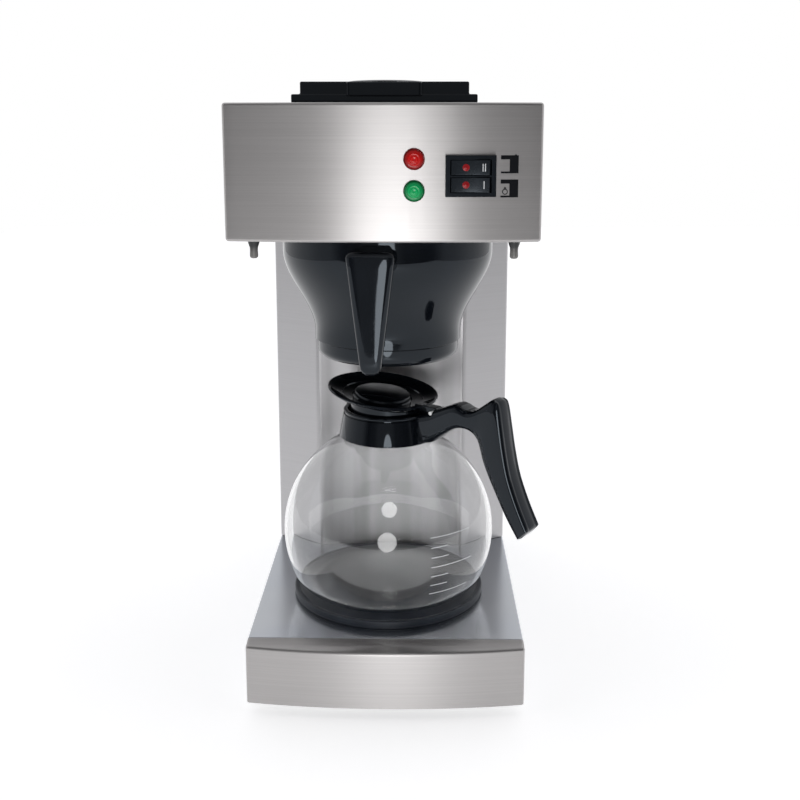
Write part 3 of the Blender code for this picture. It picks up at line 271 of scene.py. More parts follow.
def warmer_coating(name):
    """The plate's baked non-stick coating, a little worn and greyer in the worn patches."""
    paint = Paint(name, Specular_IOR_Level=0.4)
    fleck = paint.noise((1500, 1500, 1500), 2.0)
    wear = paint.noise((30, 30, 30), 4.0)
    worn = wear.smooth(0.35, 0.75)
    paint.feed("Base Color", paint.blend(worn, (0.016, 0.021, 0.030), (0.034, 0.041, 0.054)))
    paint.feed("Roughness", 0.32 + wear * 0.14)
    return paint.bump(fleck, 0.00001, 0.2).material


def clear_glass(name):
    """Clear blown glass, faintly straw-coloured in the thick ring at its foot."""
    paint = Paint(name, Transmission_Weight=1.0, IOR=1.47)
    foot = 1 - paint.axis("Z").smooth(PLATE_TOP + 0.5 * MM, PLATE_TOP + 4 * MM)
    smear = paint.noise((22, 22, 22), 3.0).smooth(0.55, 0.8)
    paint.feed("Base Color", paint.blend(foot, (0.99, 0.993, 0.993), (0.97, 0.97, 0.92)))
    paint.feed("Roughness", smear * 0.012)
    return paint.material


def lens_plastic(name, centre, edge, core, glow):
    """A coloured lamp lens, ringed inside and lighter where its lamp sits."""
    paint = Paint(name, Specular_IOR_Level=0.3, Emission_Strength=glow)
    away = paint.node("ShaderNodeVectorMath", {"operation": "DISTANCE"},
                      {0: paint.spot(), 1: tuple(centre)}, "Value")
    reach = away / LENS_RADIUS
    facets = paint.noise((900, 900, 900), 1.0)
    rings = paint.node("ShaderNodeMath", {"operation": "SINE"}, {0: reach * 26.0})
    bright = (1 - reach.smooth(0.45, 1.0)) * (0.62 + rings * 0.10 + facets * 0.35)
    colour = paint.blend(bright, edge, core)
    paint.feed("Base Color", colour)
    paint.feed("Emission Color", colour)
    paint.feed("Roughness", 0.10 + facets * 0.10)
    return paint.bump(rings, 0.0002, 0.5).material


def rubber(name):
    paint = Paint(name)
    dust = paint.noise((260, 260, 260), 4.0)
    paint.feed("Base Color", paint.blend(dust, (0.014, 0.014, 0.015), (0.040, 0.039, 0.038)))
    paint.feed("Roughness", 0.62 + dust * 0.2)
    return paint.bump(dust, 0.0002, 0.4).material


def cast_metal(name, tone):
    paint = Paint(name, Metallic=1.0)
    pits = paint.noise((700, 700, 700), 4.0)
    paint.feed("Base Color", paint.blend(pits, tuple(c * 0.75 for c in tone), tone))
    paint.feed("Roughness", 0.38 + pits * 0.2)
    return paint.bump(pits, 0.0003, 0.6).material


def zinc(name):
    paint = Paint(name, Metallic=1.0)
    bloom = paint.noise((400, 400, 400), 3.0)
    paint.feed("Base Color", paint.blend(bloom, (0.58, 0.60, 0.62), (0.74, 0.74, 0.72)))
    paint.feed("Roughness", 0.24 + bloom * 0.16)
    return paint.bump(bloom, 0.0001, 0.3).material


def rivet_plastic(name, top, low):
    """Nylon: black where it grips the sheet, smoky and half clear at its tip."""
    paint = Paint(name)
    share = paint.axis("Z").smooth(low, top)
    mottle = paint.noise((500, 500, 500), 3.0)
    paint.feed("Base Color", paint.blend(share, (0.17, 0.165, 0.16), (0.008, 0.009, 0.011)))
    paint.feed("Roughness", 0.22 + mottle * 0.16)
    return paint.bump(mottle, 0.0002, 0.4).material


def print_ink(name, colour):
    """Screen-printed ink, slightly uneven."""
    paint = Paint(name, Specular_IOR_Level=0.1)
    speck = paint.noise((2500, 2500, 2500), 2.0)
    paint.feed("Base Color", paint.blend(speck, tuple(c * 0.85 for c in colour), colour))
    paint.feed("Roughness", 0.35 + speck * 0.2)
    return paint.material


def floor_paint(name):
    """White sweep of the studio, lit a little from within so that it meets the white behind it."""
    paint = Paint(name, Specular_IOR_Level=0.1, Emission_Strength=0.62)
    tone = paint.noise((1.5, 1.5, 1.5), 2.0)
    shade = paint.blend(tone, (0.90, 0.90, 0.905), (0.92, 0.92, 0.925))
    paint.feed("Base Color", shade)
    paint.feed("Emission Color", shade)
    paint.feed("Roughness", 0.55 + tone * 0.1)
    return paint.material


LENS_RADIUS = 7 * MM
COLUMN_FACET_HALF = 64.5 * MM
LEVEL_LINES = (True, True, False)
STEEL = brushed_steel("steel_brushed_level", LEVEL_LINES, 2600, (0.50, 0.485, 0.48))
# The column's finish carries painted shade and painted reflection bands on its middle facet; the rear panel uses
# it too.
COLUMN_STEEL = brushed_steel("steel_brushed_column", LEVEL_LINES, 2600, (0.50, 0.495, 0.505), 0.30, 0.03,
                             painted_shade_half=COLUMN_FACET_HALF)
TOP_STEEL = satin_steel("steel_satin")
INNER_STEEL = brushed_steel("steel_inner", LEVEL_LINES, 800, (0.50, 0.50, 0.50), 0.36, 0.08, 0.3)
COATING = warmer_coating("warmer_coating_navy")
GLOSS = gloss_plastic("plastic_gloss_black")
SOFT_GLOSS = gloss_plastic("plastic_switch_black", (0.006, 0.008, 0.011), 0.14)
MATT = grained_plastic("plastic_matt_black", (0.022, 0.022, 0.024))
PALE_PLASTIC = grained_plastic("plastic_ivory", (0.60, 0.58, 0.52))
LAMP = grained_plastic("lamp_body_ivory", (0.75, 0.72, 0.62), 0.35)
SILICONE = grained_plastic("silicone_pale", (0.70, 0.68, 0.64), 0.4, 400)
GLASS = clear_glass("glass_clear")
RUBBER = rubber("rubber_black")
CAST = cast_metal("metal_cast", (0.35, 0.33, 0.30))
ZINC = zinc("metal_zinc")
BLACK_INK = print_ink("ink_black", (0.006, 0.007, 0.009))
WHITE_INK = print_ink("ink_white", (0.82, 0.84, 0.86))
FINISH_OF_SLOT = {
    "brushed_steel": STEEL, "satin_steel": TOP_STEEL, "tank_steel": INNER_STEEL, "warmer_coating": COATING,
    "heater_metal": CAST, "gloss_black": GLOSS, "matte_black": MATT, "rivet_grey": MATT,
    "clear_glass": GLASS, "lamp_body": LAMP, "rubber": RUBBER, "silicone": SILICONE,
    "inner_plastic": PALE_PLASTIC, "screw_zinc": ZINC,
}

# ---------------------------------------------------------------- mesh helpers


def ready(name, mesh, coat, body, stands_for=(), smooth_angle=38):
    """Make a finished piece of a mesh: its finish, its shading and the body that it moves with."""
    piece = bpy.data.objects.new(name, mesh)
    bpy.context.scene.collection.objects.link(piece)
    mesh.materials.clear()
    mesh.materials.append(coat)
    mesh.shade_smooth()
    mesh.set_sharp_from_angle(angle=radians(smooth_angle))
    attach(piece, body)
    if stands_for:
        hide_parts(*stands_for)
    return piece


def tidy(mesh, merge=1e-6):
    bm = bmesh.new()
    bm.from_mesh(mesh)
    bmesh.ops.remove_doubles(bm, verts=bm.verts, dist=merge)
    bmesh.ops.dissolve_degenerate(bm, edges=bm.edges, dist=merge)
    bmesh.ops.recalc_face_normals(bm, faces=bm.faces)
    bm.to_mesh(mesh)
    bm.free()
    return mesh


def grid_mesh(name, rings, closed_rings=True):
    """A skin over rings of equal length. Each ring closes on itself; the last meets the first if asked."""
    count = len(rings[0])
    points = [point for ring in rings for point in ring]
    faces = []
    spans = len(rings) if closed_rings else len(rings) - 1
    for i in range(spans):
        here = i * count
        there = (i + 1) % len(rings) * count
        for j in range(count):
            k = (j + 1) % count
            faces.append((here + j, here + k, there + k, there + j))
    if not closed_rings:
        faces.append(tuple(range(count - 1, -1, -1)))
        faces.append(tuple(range((len(rings) - 1) * count, len(rings) * count)))
    mesh = bpy.data.meshes.new(name)
    mesh.from_pydata(points, [], faces)
    return tidy(mesh)


def lathe(name, profile, place, coat, body, stands_for=(), steps=128, shape=None):
    """Turn a closed (radius, height) profile about the local Z of a place. shape may move a point."""
    rings = []
    for i in range(steps):
        angle = 2 * pi * i / steps
        ring = []
        for radius, height in profile:
            if shape:
                radius, height = shape(angle, radius, height)
            ring.append(place @ Vector((radius * cos(angle), radius * sin(angle), height)))
        rings.append(ring)
    return ready(name, grid_mesh(name, rings), coat, body, stands_for)


def arc(centre, radius, start, end, steps):
    """Points on an arc about (x, y), from one angle to another in degrees."""
    points = []
    for i in range(steps + 1):
        angle = radians(start + (end - start) * i / steps)
        points.append((centre[0] + radius * cos(angle), centre[1] + radius * sin(angle)))
    return points


def rounded(corners, radii, steps=5, closed=True):
    """Round the corners of an outline. radii is one radius, or one for each corner."""
    count = len(corners)
    sizes = [radii] * count if isinstance(radii, (int, float)) else radii
    points = []
    for i, corner in enumerate(corners):
        size = sizes[i]
        if size == 0 or (not closed and i in (0, count - 1)):
            points.append(tuple(corner))
            continue
        here = Vector(corner)
        before = Vector(corners[i - 1]) - here
        after = Vector(corners[(i + 1) % count]) - here
        reach = min(size, before.length * 0.49, after.length * 0.49)
        start = here + before.normalized() * reach
        end = here + after.normalized() * reach
        for k in range(steps + 1):
            t = k / steps
            points.append(tuple(start * (1 - t) ** 2 + here * 2 * t * (1 - t) + end * t ** 2))
    return points


def curve_through(points, steps):
    """A smooth run through points, cut into equal shares between each pair."""
    points = [Vector(point) for point in points]
    run = []
    for i in range(len(points) - 1):
        before = points[max(i - 1, 0)]
        start, end = points[i], points[i + 1]
        after = points[min(i + 2, len(points) - 1)]
        for k in range(steps):
            t = k / steps
            run.append(0.5 * (2 * start + (end - before) * t
                              + (2 * before - 5 * start + 4 * end - after) * t ** 2
                              + (3 * start - before - 3 * end + after) * t ** 3))
    run.append(points[-1])
    return run


def soften_edges(piece, width, segments=3, angle=35):
    """Round a piece's sharp edges and keep its flat faces flat."""
    bevel = piece.modifiers.new("edges", "BEVEL")
    bevel.width = width
    bevel.segments = segments
    bevel.limit_method = "ANGLE"
    bevel.angle_limit = radians(angle)
    bevel.use_clamp_overlap = True
    keep_flat(piece)
    return piece


def keep_flat(piece):
    weighted = piece.modifiers.new("flat_faces", "WEIGHTED_NORMAL")
    weighted.keep_sharp = True


def prism(name, outline, low, high, place, coat, body, stands_for=(), edge=0.0):
    """A flat outline given a thickness along its own Z, with rounded edges."""
    count = len(outline)
    points = [place @ Vector((x, y, z)) for z in (low, high) for x, y in outline]
    walls = [(i, (i + 1) % count, count + (i + 1) % count, count + i) for i in range(count)]
    mesh = bpy.data.meshes.new(name)
    mesh.from_pydata(points, [], [tuple(range(count - 1, -1, -1)), tuple(range(count, 2 * count))] + walls)
    piece = ready(name, tidy(mesh), coat, body, stands_for)
    return soften_edges(piece, edge) if edge else piece


def refined(node, name, coat, edge=0.3 * MM):
    """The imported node's own shape as one clean skin, its cut edges broken as on a deburred sheet."""
    source = NODES[node]
    bm = bmesh.new()
    bm.from_mesh(source.data)
    bmesh.ops.remove_doubles(bm, verts=bm.verts, dist=2e-6)
    bmesh.ops.dissolve_limit(bm, angle_limit=radians(0.15), verts=bm.verts, edges=bm.edges)
    bmesh.ops.recalc_face_normals(bm, faces=bm.faces)
    mesh = bpy.data.meshes.new(name)
    bm.to_mesh(mesh)
    bm.free()
    piece = ready(name, mesh, coat, BODY_OF[node], (node,))
    if edge:
        return soften_edges(piece, edge, 2, 50)
    keep_flat(piece)
    return piece


def surface_of(node):
    mesh = NODES[node].data
    points = [vertex.co.copy() for vertex in mesh.vertices]
    return BVHTree.FromPolygons(points, [tuple(face.vertices) for face in mesh.polygons])


def facing_point(tree, x, z):
    """Where a line along +Y first meets a surface, and the surface's normal there."""
    spot, normal, _, _ = tree.ray_cast(Vector((x, HEAD_LOW.y - 0.1, z)), Vector((0, 1, 0)))
    return spot, normal


def decal(name, node, outline, coat, lift=0.05 * MM, thick=0.06 * MM):
    """A printed shape that lies on the front of a node. The outline is in (x, z) of the part."""
    tree = surface_of(node)
    hits = [facing_point(tree, x, z) for x, z in outline]
    count = len(outline)
    back = [spot + normal * lift for spot, normal in hits]
    front = [spot + normal * (lift + thick) for spot, normal in hits]
    walls = [(i, (i + 1) % count, count + (i + 1) % count, count + i) for i in range(count)]
    mesh = bpy.data.meshes.new(name)
    caps = [tuple(range(count - 1, -1, -1)), tuple(range(count, 2 * count))]
    mesh.from_pydata(back + front, [], caps + walls)
    return ready(name, tidy(mesh, 1e-7), coat, BODY_OF[node])


def lofted(name, stations, place, coat, body, stands_for=(), corner=4.0):
    """A bar of rounded box sections. Each station is (outer point, inner point, half width, groove depth)."""
    around = 40
    rings = []
    for far, near, half, depth in stations:
        centre = (far + near) / 2
        rise = (far - near) / 2
        ring = []
        for k in range(around):
            angle = 2 * pi * k / around
            up = abs(cos(angle)) ** (2 / corner) * (1 if cos(angle) >= 0 else -1)
            side = abs(sin(angle)) ** (2 / corner) * (1 if sin(angle) >= 0 else -1)
            dip = depth if up > 0.8 and 0.28 < abs(side) < 0.62 else 0.0
            flat = centre + rise * up * (1 - dip / max(rise.length, 1e-6))
            ring.append(place @ Vector((flat.x, flat.y, half * side)))
        rings.append(ring)
    return ready(name, grid_mesh(name, rings, closed_rings=False), coat, body, stands_for, 50)


def cut_away(piece, low, high, place):
    """Take a box, given in the axes of a place, out of a piece for good."""
    bm = bmesh.new()
    size = Vector(high) - Vector(low)
    bmesh.ops.create_cube(bm, size=1.0, matrix=place @ Matrix.Translation((Vector(low) + Vector(high)) / 2)
                          @ Matrix.Diagonal((*size, 1.0)))
    cutter_mesh = bpy.data.meshes.new("notch")
    bm.to_mesh(cutter_mesh)
    bm.free()
    cutter = bpy.data.objects.new("notch", cutter_mesh)
    bpy.context.scene.collection.objects.link(cutter)
    change = piece.modifiers.new("notch", "BOOLEAN")
    change.object = cutter
    bpy.context.view_layer.update()
    result = bpy.data.meshes.new_from_object(piece.evaluated_get(bpy.context.evaluated_depsgraph_get()))
    piece.modifiers.remove(change)
    bpy.data.objects.remove(cutter, do_unlink=True)
    piece.data = result
    result.set_sharp_from_angle(angle=radians(50))

# ---------------------------------------------------------------- housing: sheet metal


def make_housing():
    refined("head_front_panel", "head_front", STEEL)
    refined("head_shell", "head_sleeve", STEEL)
    refined("head_bottom_plate", "head_underside", STEEL)
    refined("column_front", "column", COLUMN_STEEL)
    refined("rear_cover", "rear_panel", COLUMN_STEEL)
    refined("base_shell", "base_top", TOP_STEEL)
    refined("base_front_panel", "base_front", STEEL)
    refined("base_bottom_plate", "base_underside", INNER_STEEL)
    refined("inlet_basin", "basin", INNER_STEEL, 0)
    for side in ("left", "right"):
        refined(f"basket_rail_{side}", f"rail_{side}", STEEL, 0.2 * MM)
        make_rivet(side)


def make_rivet(side):
    """A snap rivet: a flared collar under the sheet, a waisted shank and a soft round tip."""
    low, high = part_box(f"rivet_{side}")
    seat = HEAD_LOW.z - 0.3 * MM
    tip = low.z
    centre = Matrix.Translation(((low.x + high.x) / 2, (low.y + high.y) / 2, 0))
    wide = (high.x - low.x) / 2
    waist = wide * 0.66
    profile = [(AXIS, seat), (wide, seat), (wide, seat - 0.6 * MM)]
    profile += [(wide * 0.86, seat - 3.2 * MM), (waist, seat - 5.6 * MM), (waist * 0.94, seat - 7.6 * MM)]
    profile += [(waist, tip + 2.4 * MM)]
    profile += arc((waist - 1.8 * MM, tip + 1.8 * MM), 1.8 * MM, 0, -90, 6)
    profile += [(AXIS, tip)]
    finish = rivet_plastic(f"rivet_nylon_{side}", seat - 4 * MM, tip + 3 * MM)
    lathe(f"snap_rivet_{side}", profile, centre, finish, BODY_OF[f"rivet_{side}"], (f"rivet_{side}",), 48)


def make_warmer(prefix):
    """A coated plate: a flat top, a rolled rim and a shallow step under it."""
    node = f"{prefix}_warmer_plate"
    low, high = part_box(node)
    radius = (high.x - low.x) / 2
    lip = 1.1 * MM
    profile = [(AXIS, high.z), (radius - 5 * MM, high.z), (radius - 4.4 * MM, high.z - 0.25 * MM),
               (radius - 3.4 * MM, high.z - 0.25 * MM), (radius - 2.8 * MM, high.z)]
    profile += arc((radius - lip, high.z - lip), lip, 90, 0, 6)
    profile += [(radius, low.z + 1.4 * MM), (radius - 0.5 * MM, low.z + 0.9 * MM), (radius - 0.5 * MM, low.z),
                (AXIS, low.z)]
    centre = Matrix.Translation(((low.x + high.x) / 2, (low.y + high.y) / 2, 0))
    lathe(f"{prefix}_warmer", profile, centre, COATING, BODY_OF[node], (node,), 160)


# ---------------------------------------------------------------- fill lid


def make_fill_lid():
    refined("basin_lid", "fill_lid_body", GLOSS, 0.9 * MM)
    body = BODY_OF["lid_cap"]
    low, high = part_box("lid_cap")
    radius = (high.x - low.x) / 2
    crown = high.z - low.z
    # Share of the radius, and of the height down from the top
    steps = ((0.45, 0.08), (0.62, 0.2), (0.66, 0.55), (0.70, 0.55), (0.74, 0.24), (0.90, 0.45), (0.985, 0.7))
    profile = [(AXIS, high.z)]
    profile += [(radius * out, high.z - crown * down) for out, down in steps]
    profile += [(radius, low.z), (AXIS, low.z)]
    centre = Matrix.Translation(((low.x + high.x) / 2, (low.y + high.y) / 2, 0))
    lathe("fill_lid_cap", profile, centre, GLOSS, body, ("lid_cap",), 96)
    make_cap_hub(centre, radius, body)


def make_cap_hub(centre, radius, body):
    """The block under the cap, which stands a little proud of the lid's front."""
    low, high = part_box("basin_lid")
    half = radius * 0.96
    corners = [(-half, 6 * MM), (-half, -2.4 * MM), (-half / 2, -3.2 * MM), (0, -3.5 * MM),
               (half / 2, -3.2 * MM), (half, -2.4 * MM), (half, 6 * MM)]
    outline = rounded(corners, [0, 2.4 * MM, 5 * MM, 5 * MM, 5 * MM, 2.4 * MM, 0])
    place = Matrix.Translation((centre.translation.x, low.y, 0))
    prism("fill_lid_hub", outline, low.z + 4.6 * MM, high.z - 0.5 * MM, place, GLOSS, body, (), 0.8 * MM)


# ---------------------------------------------------------------- lamps, switches and printed marks


def make_lens(name, edge, core, glow):
    """A domed lens in a thin dark collar."""
    node = f"{name}_lens"
    low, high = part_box(node)
    tree = surface_of("head_front_panel")
    x = (low.x + high.x) / 2
    z = (low.z + high.z) / 2
    face, normal = facing_point(tree, x, z + LENS_RADIUS + 1.5 * MM)
    spot = Vector((x, face.y, z))
    place = Matrix.Translation(spot) @ normal.to_track_quat("Z", "Y").to_matrix().to_4x4()
    proud = face.y - low.y
    radius = LENS_RADIUS
    dome = [(AXIS, proud)]
    for angle in range(10, 90, 8):
        turn = radians(angle)
        dome.append((radius * 0.90 * sin(turn), proud * (0.42 + 0.58 * cos(turn))))
    dome += [(radius * 0.91, proud * 0.36), (radius * 0.91, -2 * MM), (AXIS, -2 * MM)]
    finish = lens_plastic(f"lens_{name}", spot + normal * proud / 2, edge, core, glow)
    lathe(f"{name}_lens_dome", dome, place, finish, BODY_OF[node], (node,), 96)
    ring = [(radius * 0.92, proud * 0.40), (radius * 0.96, proud * 0.46), (radius, proud * 0.30),
            (radius, 0.3 * MM), (radius * 0.92, 0.3 * MM)]
    lathe(f"{name}_lens_collar", ring, place, finish, BODY_OF[node], (), 96)


def make_switches():
    refined("switch_frame", "switch_bezel", SOFT_GLOSS, 0.45 * MM)
    for name, bars in (("upper", 2), ("lower", 1)):
        node = f"rocker_{name}"
        refined(node, f"{node}_button", SOFT_GLOSS, 0.7 * MM)
        low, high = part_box(node)
        mid_z = (low.z + high.z) / 2
        mid_x = (low.x + high.x) / 2
        tree = surface_of(node)
        reach = (high.x - low.x) / 2
        spot, normal = facing_point(tree, mid_x - reach * 0.22, mid_z)
        place = Matrix.Translation(spot) @ normal.to_track_quat("Z", "Y").to_matrix().to_4x4()
        radius = 2.3 * MM
        dot = [(AXIS, 0.55 * MM), (radius * 0.5, 0.50 * MM), (radius * 0.85, 0.28 * MM),
               (radius, 0.02 * MM), (radius, -0.5 * MM), (AXIS, -0.5 * MM)]
        finish = lens_plastic(f"rocker_lens_{name}", spot, (0.02, 0.001, 0.002), (0.34, 0.010, 0.014), 0.15)
        lathe(f"{node}_lens", dot, place, finish, BODY_OF[node], (), 32)
        for i in range(bars):
            x = mid_x + reach * 0.66 + (i - (bars - 1) / 2) * 1.5 * MM
            mark = [(x - 0.28 * MM, mid_z - 2.5 * MM), (x + 0.28 * MM, mid_z - 2.5 * MM),
                    (x + 0.28 * MM, mid_z + 2.5 * MM), (x - 0.28 * MM, mid_z + 2.5 * MM)]
            decal(f"{node}_mark_{i + 1}", node, mark, WHITE_INK)


def bracket(x, z, wide, high, thick, foot, back):
    """Outline of a small brewer seen from its side: head, column and base."""
    return [(x, z), (x + wide, z), (x + wide, z + high), (x, z + high), (x, z + high - thick),
            (x + wide - back, z + high - thick), (x + wide - back, z + foot), (x, z + foot)]


def make_pictograms():
    """Two printed signs beside the rockers: the upper warmer, and the brewer with its decanter."""
    frame_low, frame_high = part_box("switch_frame")
    left = frame_high.x + 3.0 * MM
    wide = 11.6 * MM
    tall = 11.6 * MM
    middle_z = (frame_low.z + frame_high.z) / 2 - 0.3 * MM
    upper = middle_z + 2.0 * MM
    lower = middle_z - 2.0 * MM - tall
    for name, z in (("upper", upper), ("lower", lower)):
        outline = bracket(left, z, wide, tall, 2.6 * MM, 1.2 * MM, 5.8 * MM)
        decal(f"sign_{name}", "head_front_panel", outline, BLACK_INK)

    def pot_ring(radius):
        turns = [radians(90 + 360 * i / 20) for i in range(20)]
        return [(left + (2.9 + radius * cos(turn)) * MM, lower + (3.7 + radius * sin(turn)) * MM)
                for turn in turns]

    decal("sign_pot", "head_front_panel", pot_ring(1.9), BLACK_INK)
    decal("sign_pot_inside", "head_front_panel", pot_ring(1.3), STEEL, 0.12 * MM)
    foot = lower + 5.7 * MM
    cap = [(left + 1.9 * MM, foot), (left + 3.9 * MM, foot), (left + 2.9 * MM, lower + 7.0 * MM)]
    decal("sign_pot_lid", "head_front_panel", cap, BLACK_INK)
    top = upper + tall
    rim = [(left + 9.0 * MM, top), (left + 10.4 * MM, top), (left + 9.7 * MM, top + 0.9 * MM)]
    decal("sign_upper_pot", "head_front_panel", rim, BLACK_INK)


# ---------------------------------------------------------------- brew basket

BASKET_LOW, BASKET_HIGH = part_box("brew_basket")
BASKET_RADIUS = 81 * MM
BASKET_STEP = 24 * MM
BASKET_WALL = 3 * MM
BASKET_FOOT_HEIGHT = 14 * MM


def bowl_radius(height):
    """Outer radius of the bowl: straight at its foot and its top, with an easy S between them."""
    top = BASKET_HIGH.z - BASKET_LOW.z
    share = (height - top * 0.20) / (top * 0.62)
    share = min(max(share, 0.0), 1.0)
    return BASKET_RADIUS - BASKET_STEP * (1 - share * share * (3 - 2 * share))


def make_basket():
    top = BASKET_HIGH.z - BASKET_LOW.z
    flange = (BASKET_HIGH.x - BASKET_LOW.x) / 2
    rise = 40
    bowl = top - 2.4 * MM - BASKET_FOOT_HEIGHT
    heights = [BASKET_FOOT_HEIGHT + bowl * i / rise for i in range(rise + 1)]
    outer = [(bowl_radius(height), height) for height in heights]
    foot = bowl_radius(0) - 1.8 * MM
    profile = [(12 * MM, 0), (foot - 9 * MM, 0)] + arc((foot - 7 * MM, 7 * MM), 7 * MM, -90, 0, 8)
    profile += [(foot, BASKET_FOOT_HEIGHT - 1.2 * MM), (foot + 1.2 * MM, BASKET_FOOT_HEIGHT - 0.5 * MM)]
    profile += outer
    profile += [(flange - 0.6 * MM, top - 2.4 * MM), (flange, top - 1.8 * MM), (flange, top - 0.6 * MM),
                (flange - 0.6 * MM, top), (BASKET_RADIUS - BASKET_WALL + 0.6 * MM, top),
                (BASKET_RADIUS - BASKET_WALL, top - 0.6 * MM)]
    profile += [(radius - BASKET_WALL, height) for radius, height in reversed(outer)]
    profile += [(foot - BASKET_WALL, 6 * MM), (foot - 10 * MM, BASKET_WALL), (12 * MM, BASKET_WALL)]
    place = Matrix.Translation(BREW_AXIS + UP * BASKET_LOW.z)
    lathe("basket_bowl", profile, place, GLOSS, "basket", ("brew_basket",), 160)
    make_basket_grip()


def make_basket_grip():
    """A broad paddle that hangs from a short arm and narrows to a round tip."""
    low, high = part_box("basket_handle")
    front = Vector(((low.x + high.x) / 2, low.y, 0)) - BREW_AXIS
    outward = front.normalized()
    place = Matrix.Translation(BREW_AXIS) @ Matrix((outward, UP, outward.cross(UP))).transposed().to_4x4()
    reach = front.length
    thick = 12.5 * MM
    wide = 33.9 / 2 * MM
    narrow = 15.4 / 2 * MM
    edge = 4.5 * MM
    stations = []
    for angle in (80, 62, 45, 28, 12, 0):
        inset = edge * (1 - cos(radians(angle)))
        height = high.z - edge * (1 - sin(radians(angle)))
        near = Vector((reach - thick + inset, height))
        stations.append((Vector((reach - inset, height)), near, wide - inset, 0))
    start = high.z - edge
    end = low.z + narrow
    for i in range(1, 13):
        share = i / 12
        height = start + (end - start) * share
        half = wide + (narrow - wide) * share
        lean = 1.6 * MM * share
        near = Vector((reach - thick + lean, height))
        stations.append((Vector((reach - lean * 0.2, height)), near, half, 0))
    middle_depth = reach - thick / 2 + 0.6 * MM
    for angle in (20, 40, 58, 74, 86):
        height = end - narrow * sin(radians(angle))
        deep = (thick / 2 - 1.0 * MM) * cos(radians(angle)) ** 0.8
        half = narrow * cos(radians(angle))
        near = Vector((middle_depth - deep, height))
        stations.append((Vector((middle_depth + deep, height)), near, half, 0))
    lofted("basket_grip", stations, place, GLOSS, "basket", ("basket_handle",), 4.0)
    arm_top = high.z - 0.2 * MM
    arm_low = high.z - 16 * MM
    arm = [(Vector((x, arm_top)), Vector((x, arm_low)), wide - 0.8 * MM, 0)
           for x in (BASKET_RADIUS - 1.0 * MM, reach - thick + 4 * MM)]
    lofted("basket_grip_arm", arm, place, GLOSS, "basket", (), 6.0)


# ---------------------------------------------------------------- decanter

GLASS_LOW, GLASS_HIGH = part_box("decanter_glass")
GLOBE_RADIUS = (GLASS_HIGH.x - GLASS_LOW.x) / 2
GLOBE_FLAT = GLOBE_RADIUS - 27.3 * MM
HEEL_RADIUS = 22 * MM
NECK_RADIUS = 34 * MM
NECK_FILLET = 8 * MM
HEEL_RISE = sqrt((GLOBE_RADIUS - HEEL_RADIUS) ** 2 - GLOBE_FLAT ** 2)
GLOBE_Z = GLASS_LOW.z + HEEL_RADIUS + HEEL_RISE
FILLET_RISE = sqrt((GLOBE_RADIUS + NECK_FILLET) ** 2 - (NECK_RADIUS + NECK_FILLET) ** 2)
COLLAR_LOW, COLLAR_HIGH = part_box("decanter_collar")
LEVEL_MARKS = 7
LEVEL_PITCH = 7.5 * MM
LOWEST_LEVEL = GLOBE_Z - 26 * MM
# Degrees round the globe from the front: where the level lines start, and how long they are
MARKS_START = 24.0
LONG_MARK = 26.0
SHORT_MARK = 10.0


def glass_side(offset):
    """The globe from its neck to its flat foot, offset inwards by the wall's thickness."""
    shoulder = degrees(asin(FILLET_RISE / (GLOBE_RADIUS + NECK_FILLET)))
    toe = -degrees(asin(HEEL_RISE / (GLOBE_RADIUS - HEEL_RADIUS)))
    neck = (NECK_RADIUS + NECK_FILLET, GLOBE_Z + FILLET_RISE)
    side = arc(neck, NECK_FILLET + offset, 180, 180 + shoulder, 8)
    side += arc((0, GLOBE_Z), GLOBE_RADIUS - offset, shoulder, toe, 56)[1:]
    side += arc((GLOBE_FLAT, GLASS_LOW.z + HEEL_RADIUS), HEEL_RADIUS - offset, toe, -90, 12)[1:]
    return side


def make_glass():
    wall = 2.0 * MM
    top = GLASS_HIGH.z
    outside = glass_side(0.0)
    inside = glass_side(wall)
    floor = GLASS_LOW.z + wall
    profile = [(AXIS, GLASS_LOW.z + 1.0 * MM), (GLOBE_FLAT * 0.80, GLASS_LOW.z + 0.8 * MM),
               (GLOBE_FLAT * 0.92, GLASS_LOW.z)]
    profile += list(reversed(outside[:-1]))
    profile += [(NECK_RADIUS, top - 0.8 * MM), (NECK_RADIUS - 0.6 * MM, top),
                (NECK_RADIUS - wall + 0.6 * MM, top), (NECK_RADIUS - wall, top - 0.8 * MM)]
    profile += inside[:-1]
    profile += [(GLOBE_FLAT * 0.9, floor + 0.2 * MM), (GLOBE_FLAT * 0.72, floor + 0.9 * MM),
                (AXIS, floor + 1.0 * MM)]
    glass = lathe("decanter_globe", profile, Matrix.Translation(BREW_AXIS), GLASS, "decanter",
                  ("decanter_glass",), 192)
    glass.visible_shadow = False
    make_level_marks()


def globe_spot(azimuth, height, lift):
    """A point on the globe: azimuth in degrees from the front towards the right."""
    radius = sqrt(GLOBE_RADIUS ** 2 - (height - GLOBE_Z) ** 2)
    turn = radians(azimuth)
    normal = Vector((radius * sin(turn), -radius * cos(turn), height - GLOBE_Z)).normalized()
    return BREW_AXIS + UP * GLOBE_Z + normal * (GLOBE_RADIUS + lift)


def band_mesh(name, start, end, low, high):
    """A thin enamel band on the globe between two azimuths and two heights."""
    steps = max(2, ceil((end - start) / 2))
    corners = ((low, 0.02 * MM), (high, 0.02 * MM), (high, 0.09 * MM), (low, 0.09 * MM))
    rings = []
    for i in range(steps + 1):
        azimuth = start + (end - start) * i / steps
        rings.append([globe_spot(azimuth, height, lift) for height, lift in corners])
    return grid_mesh(name, rings, closed_rings=False)


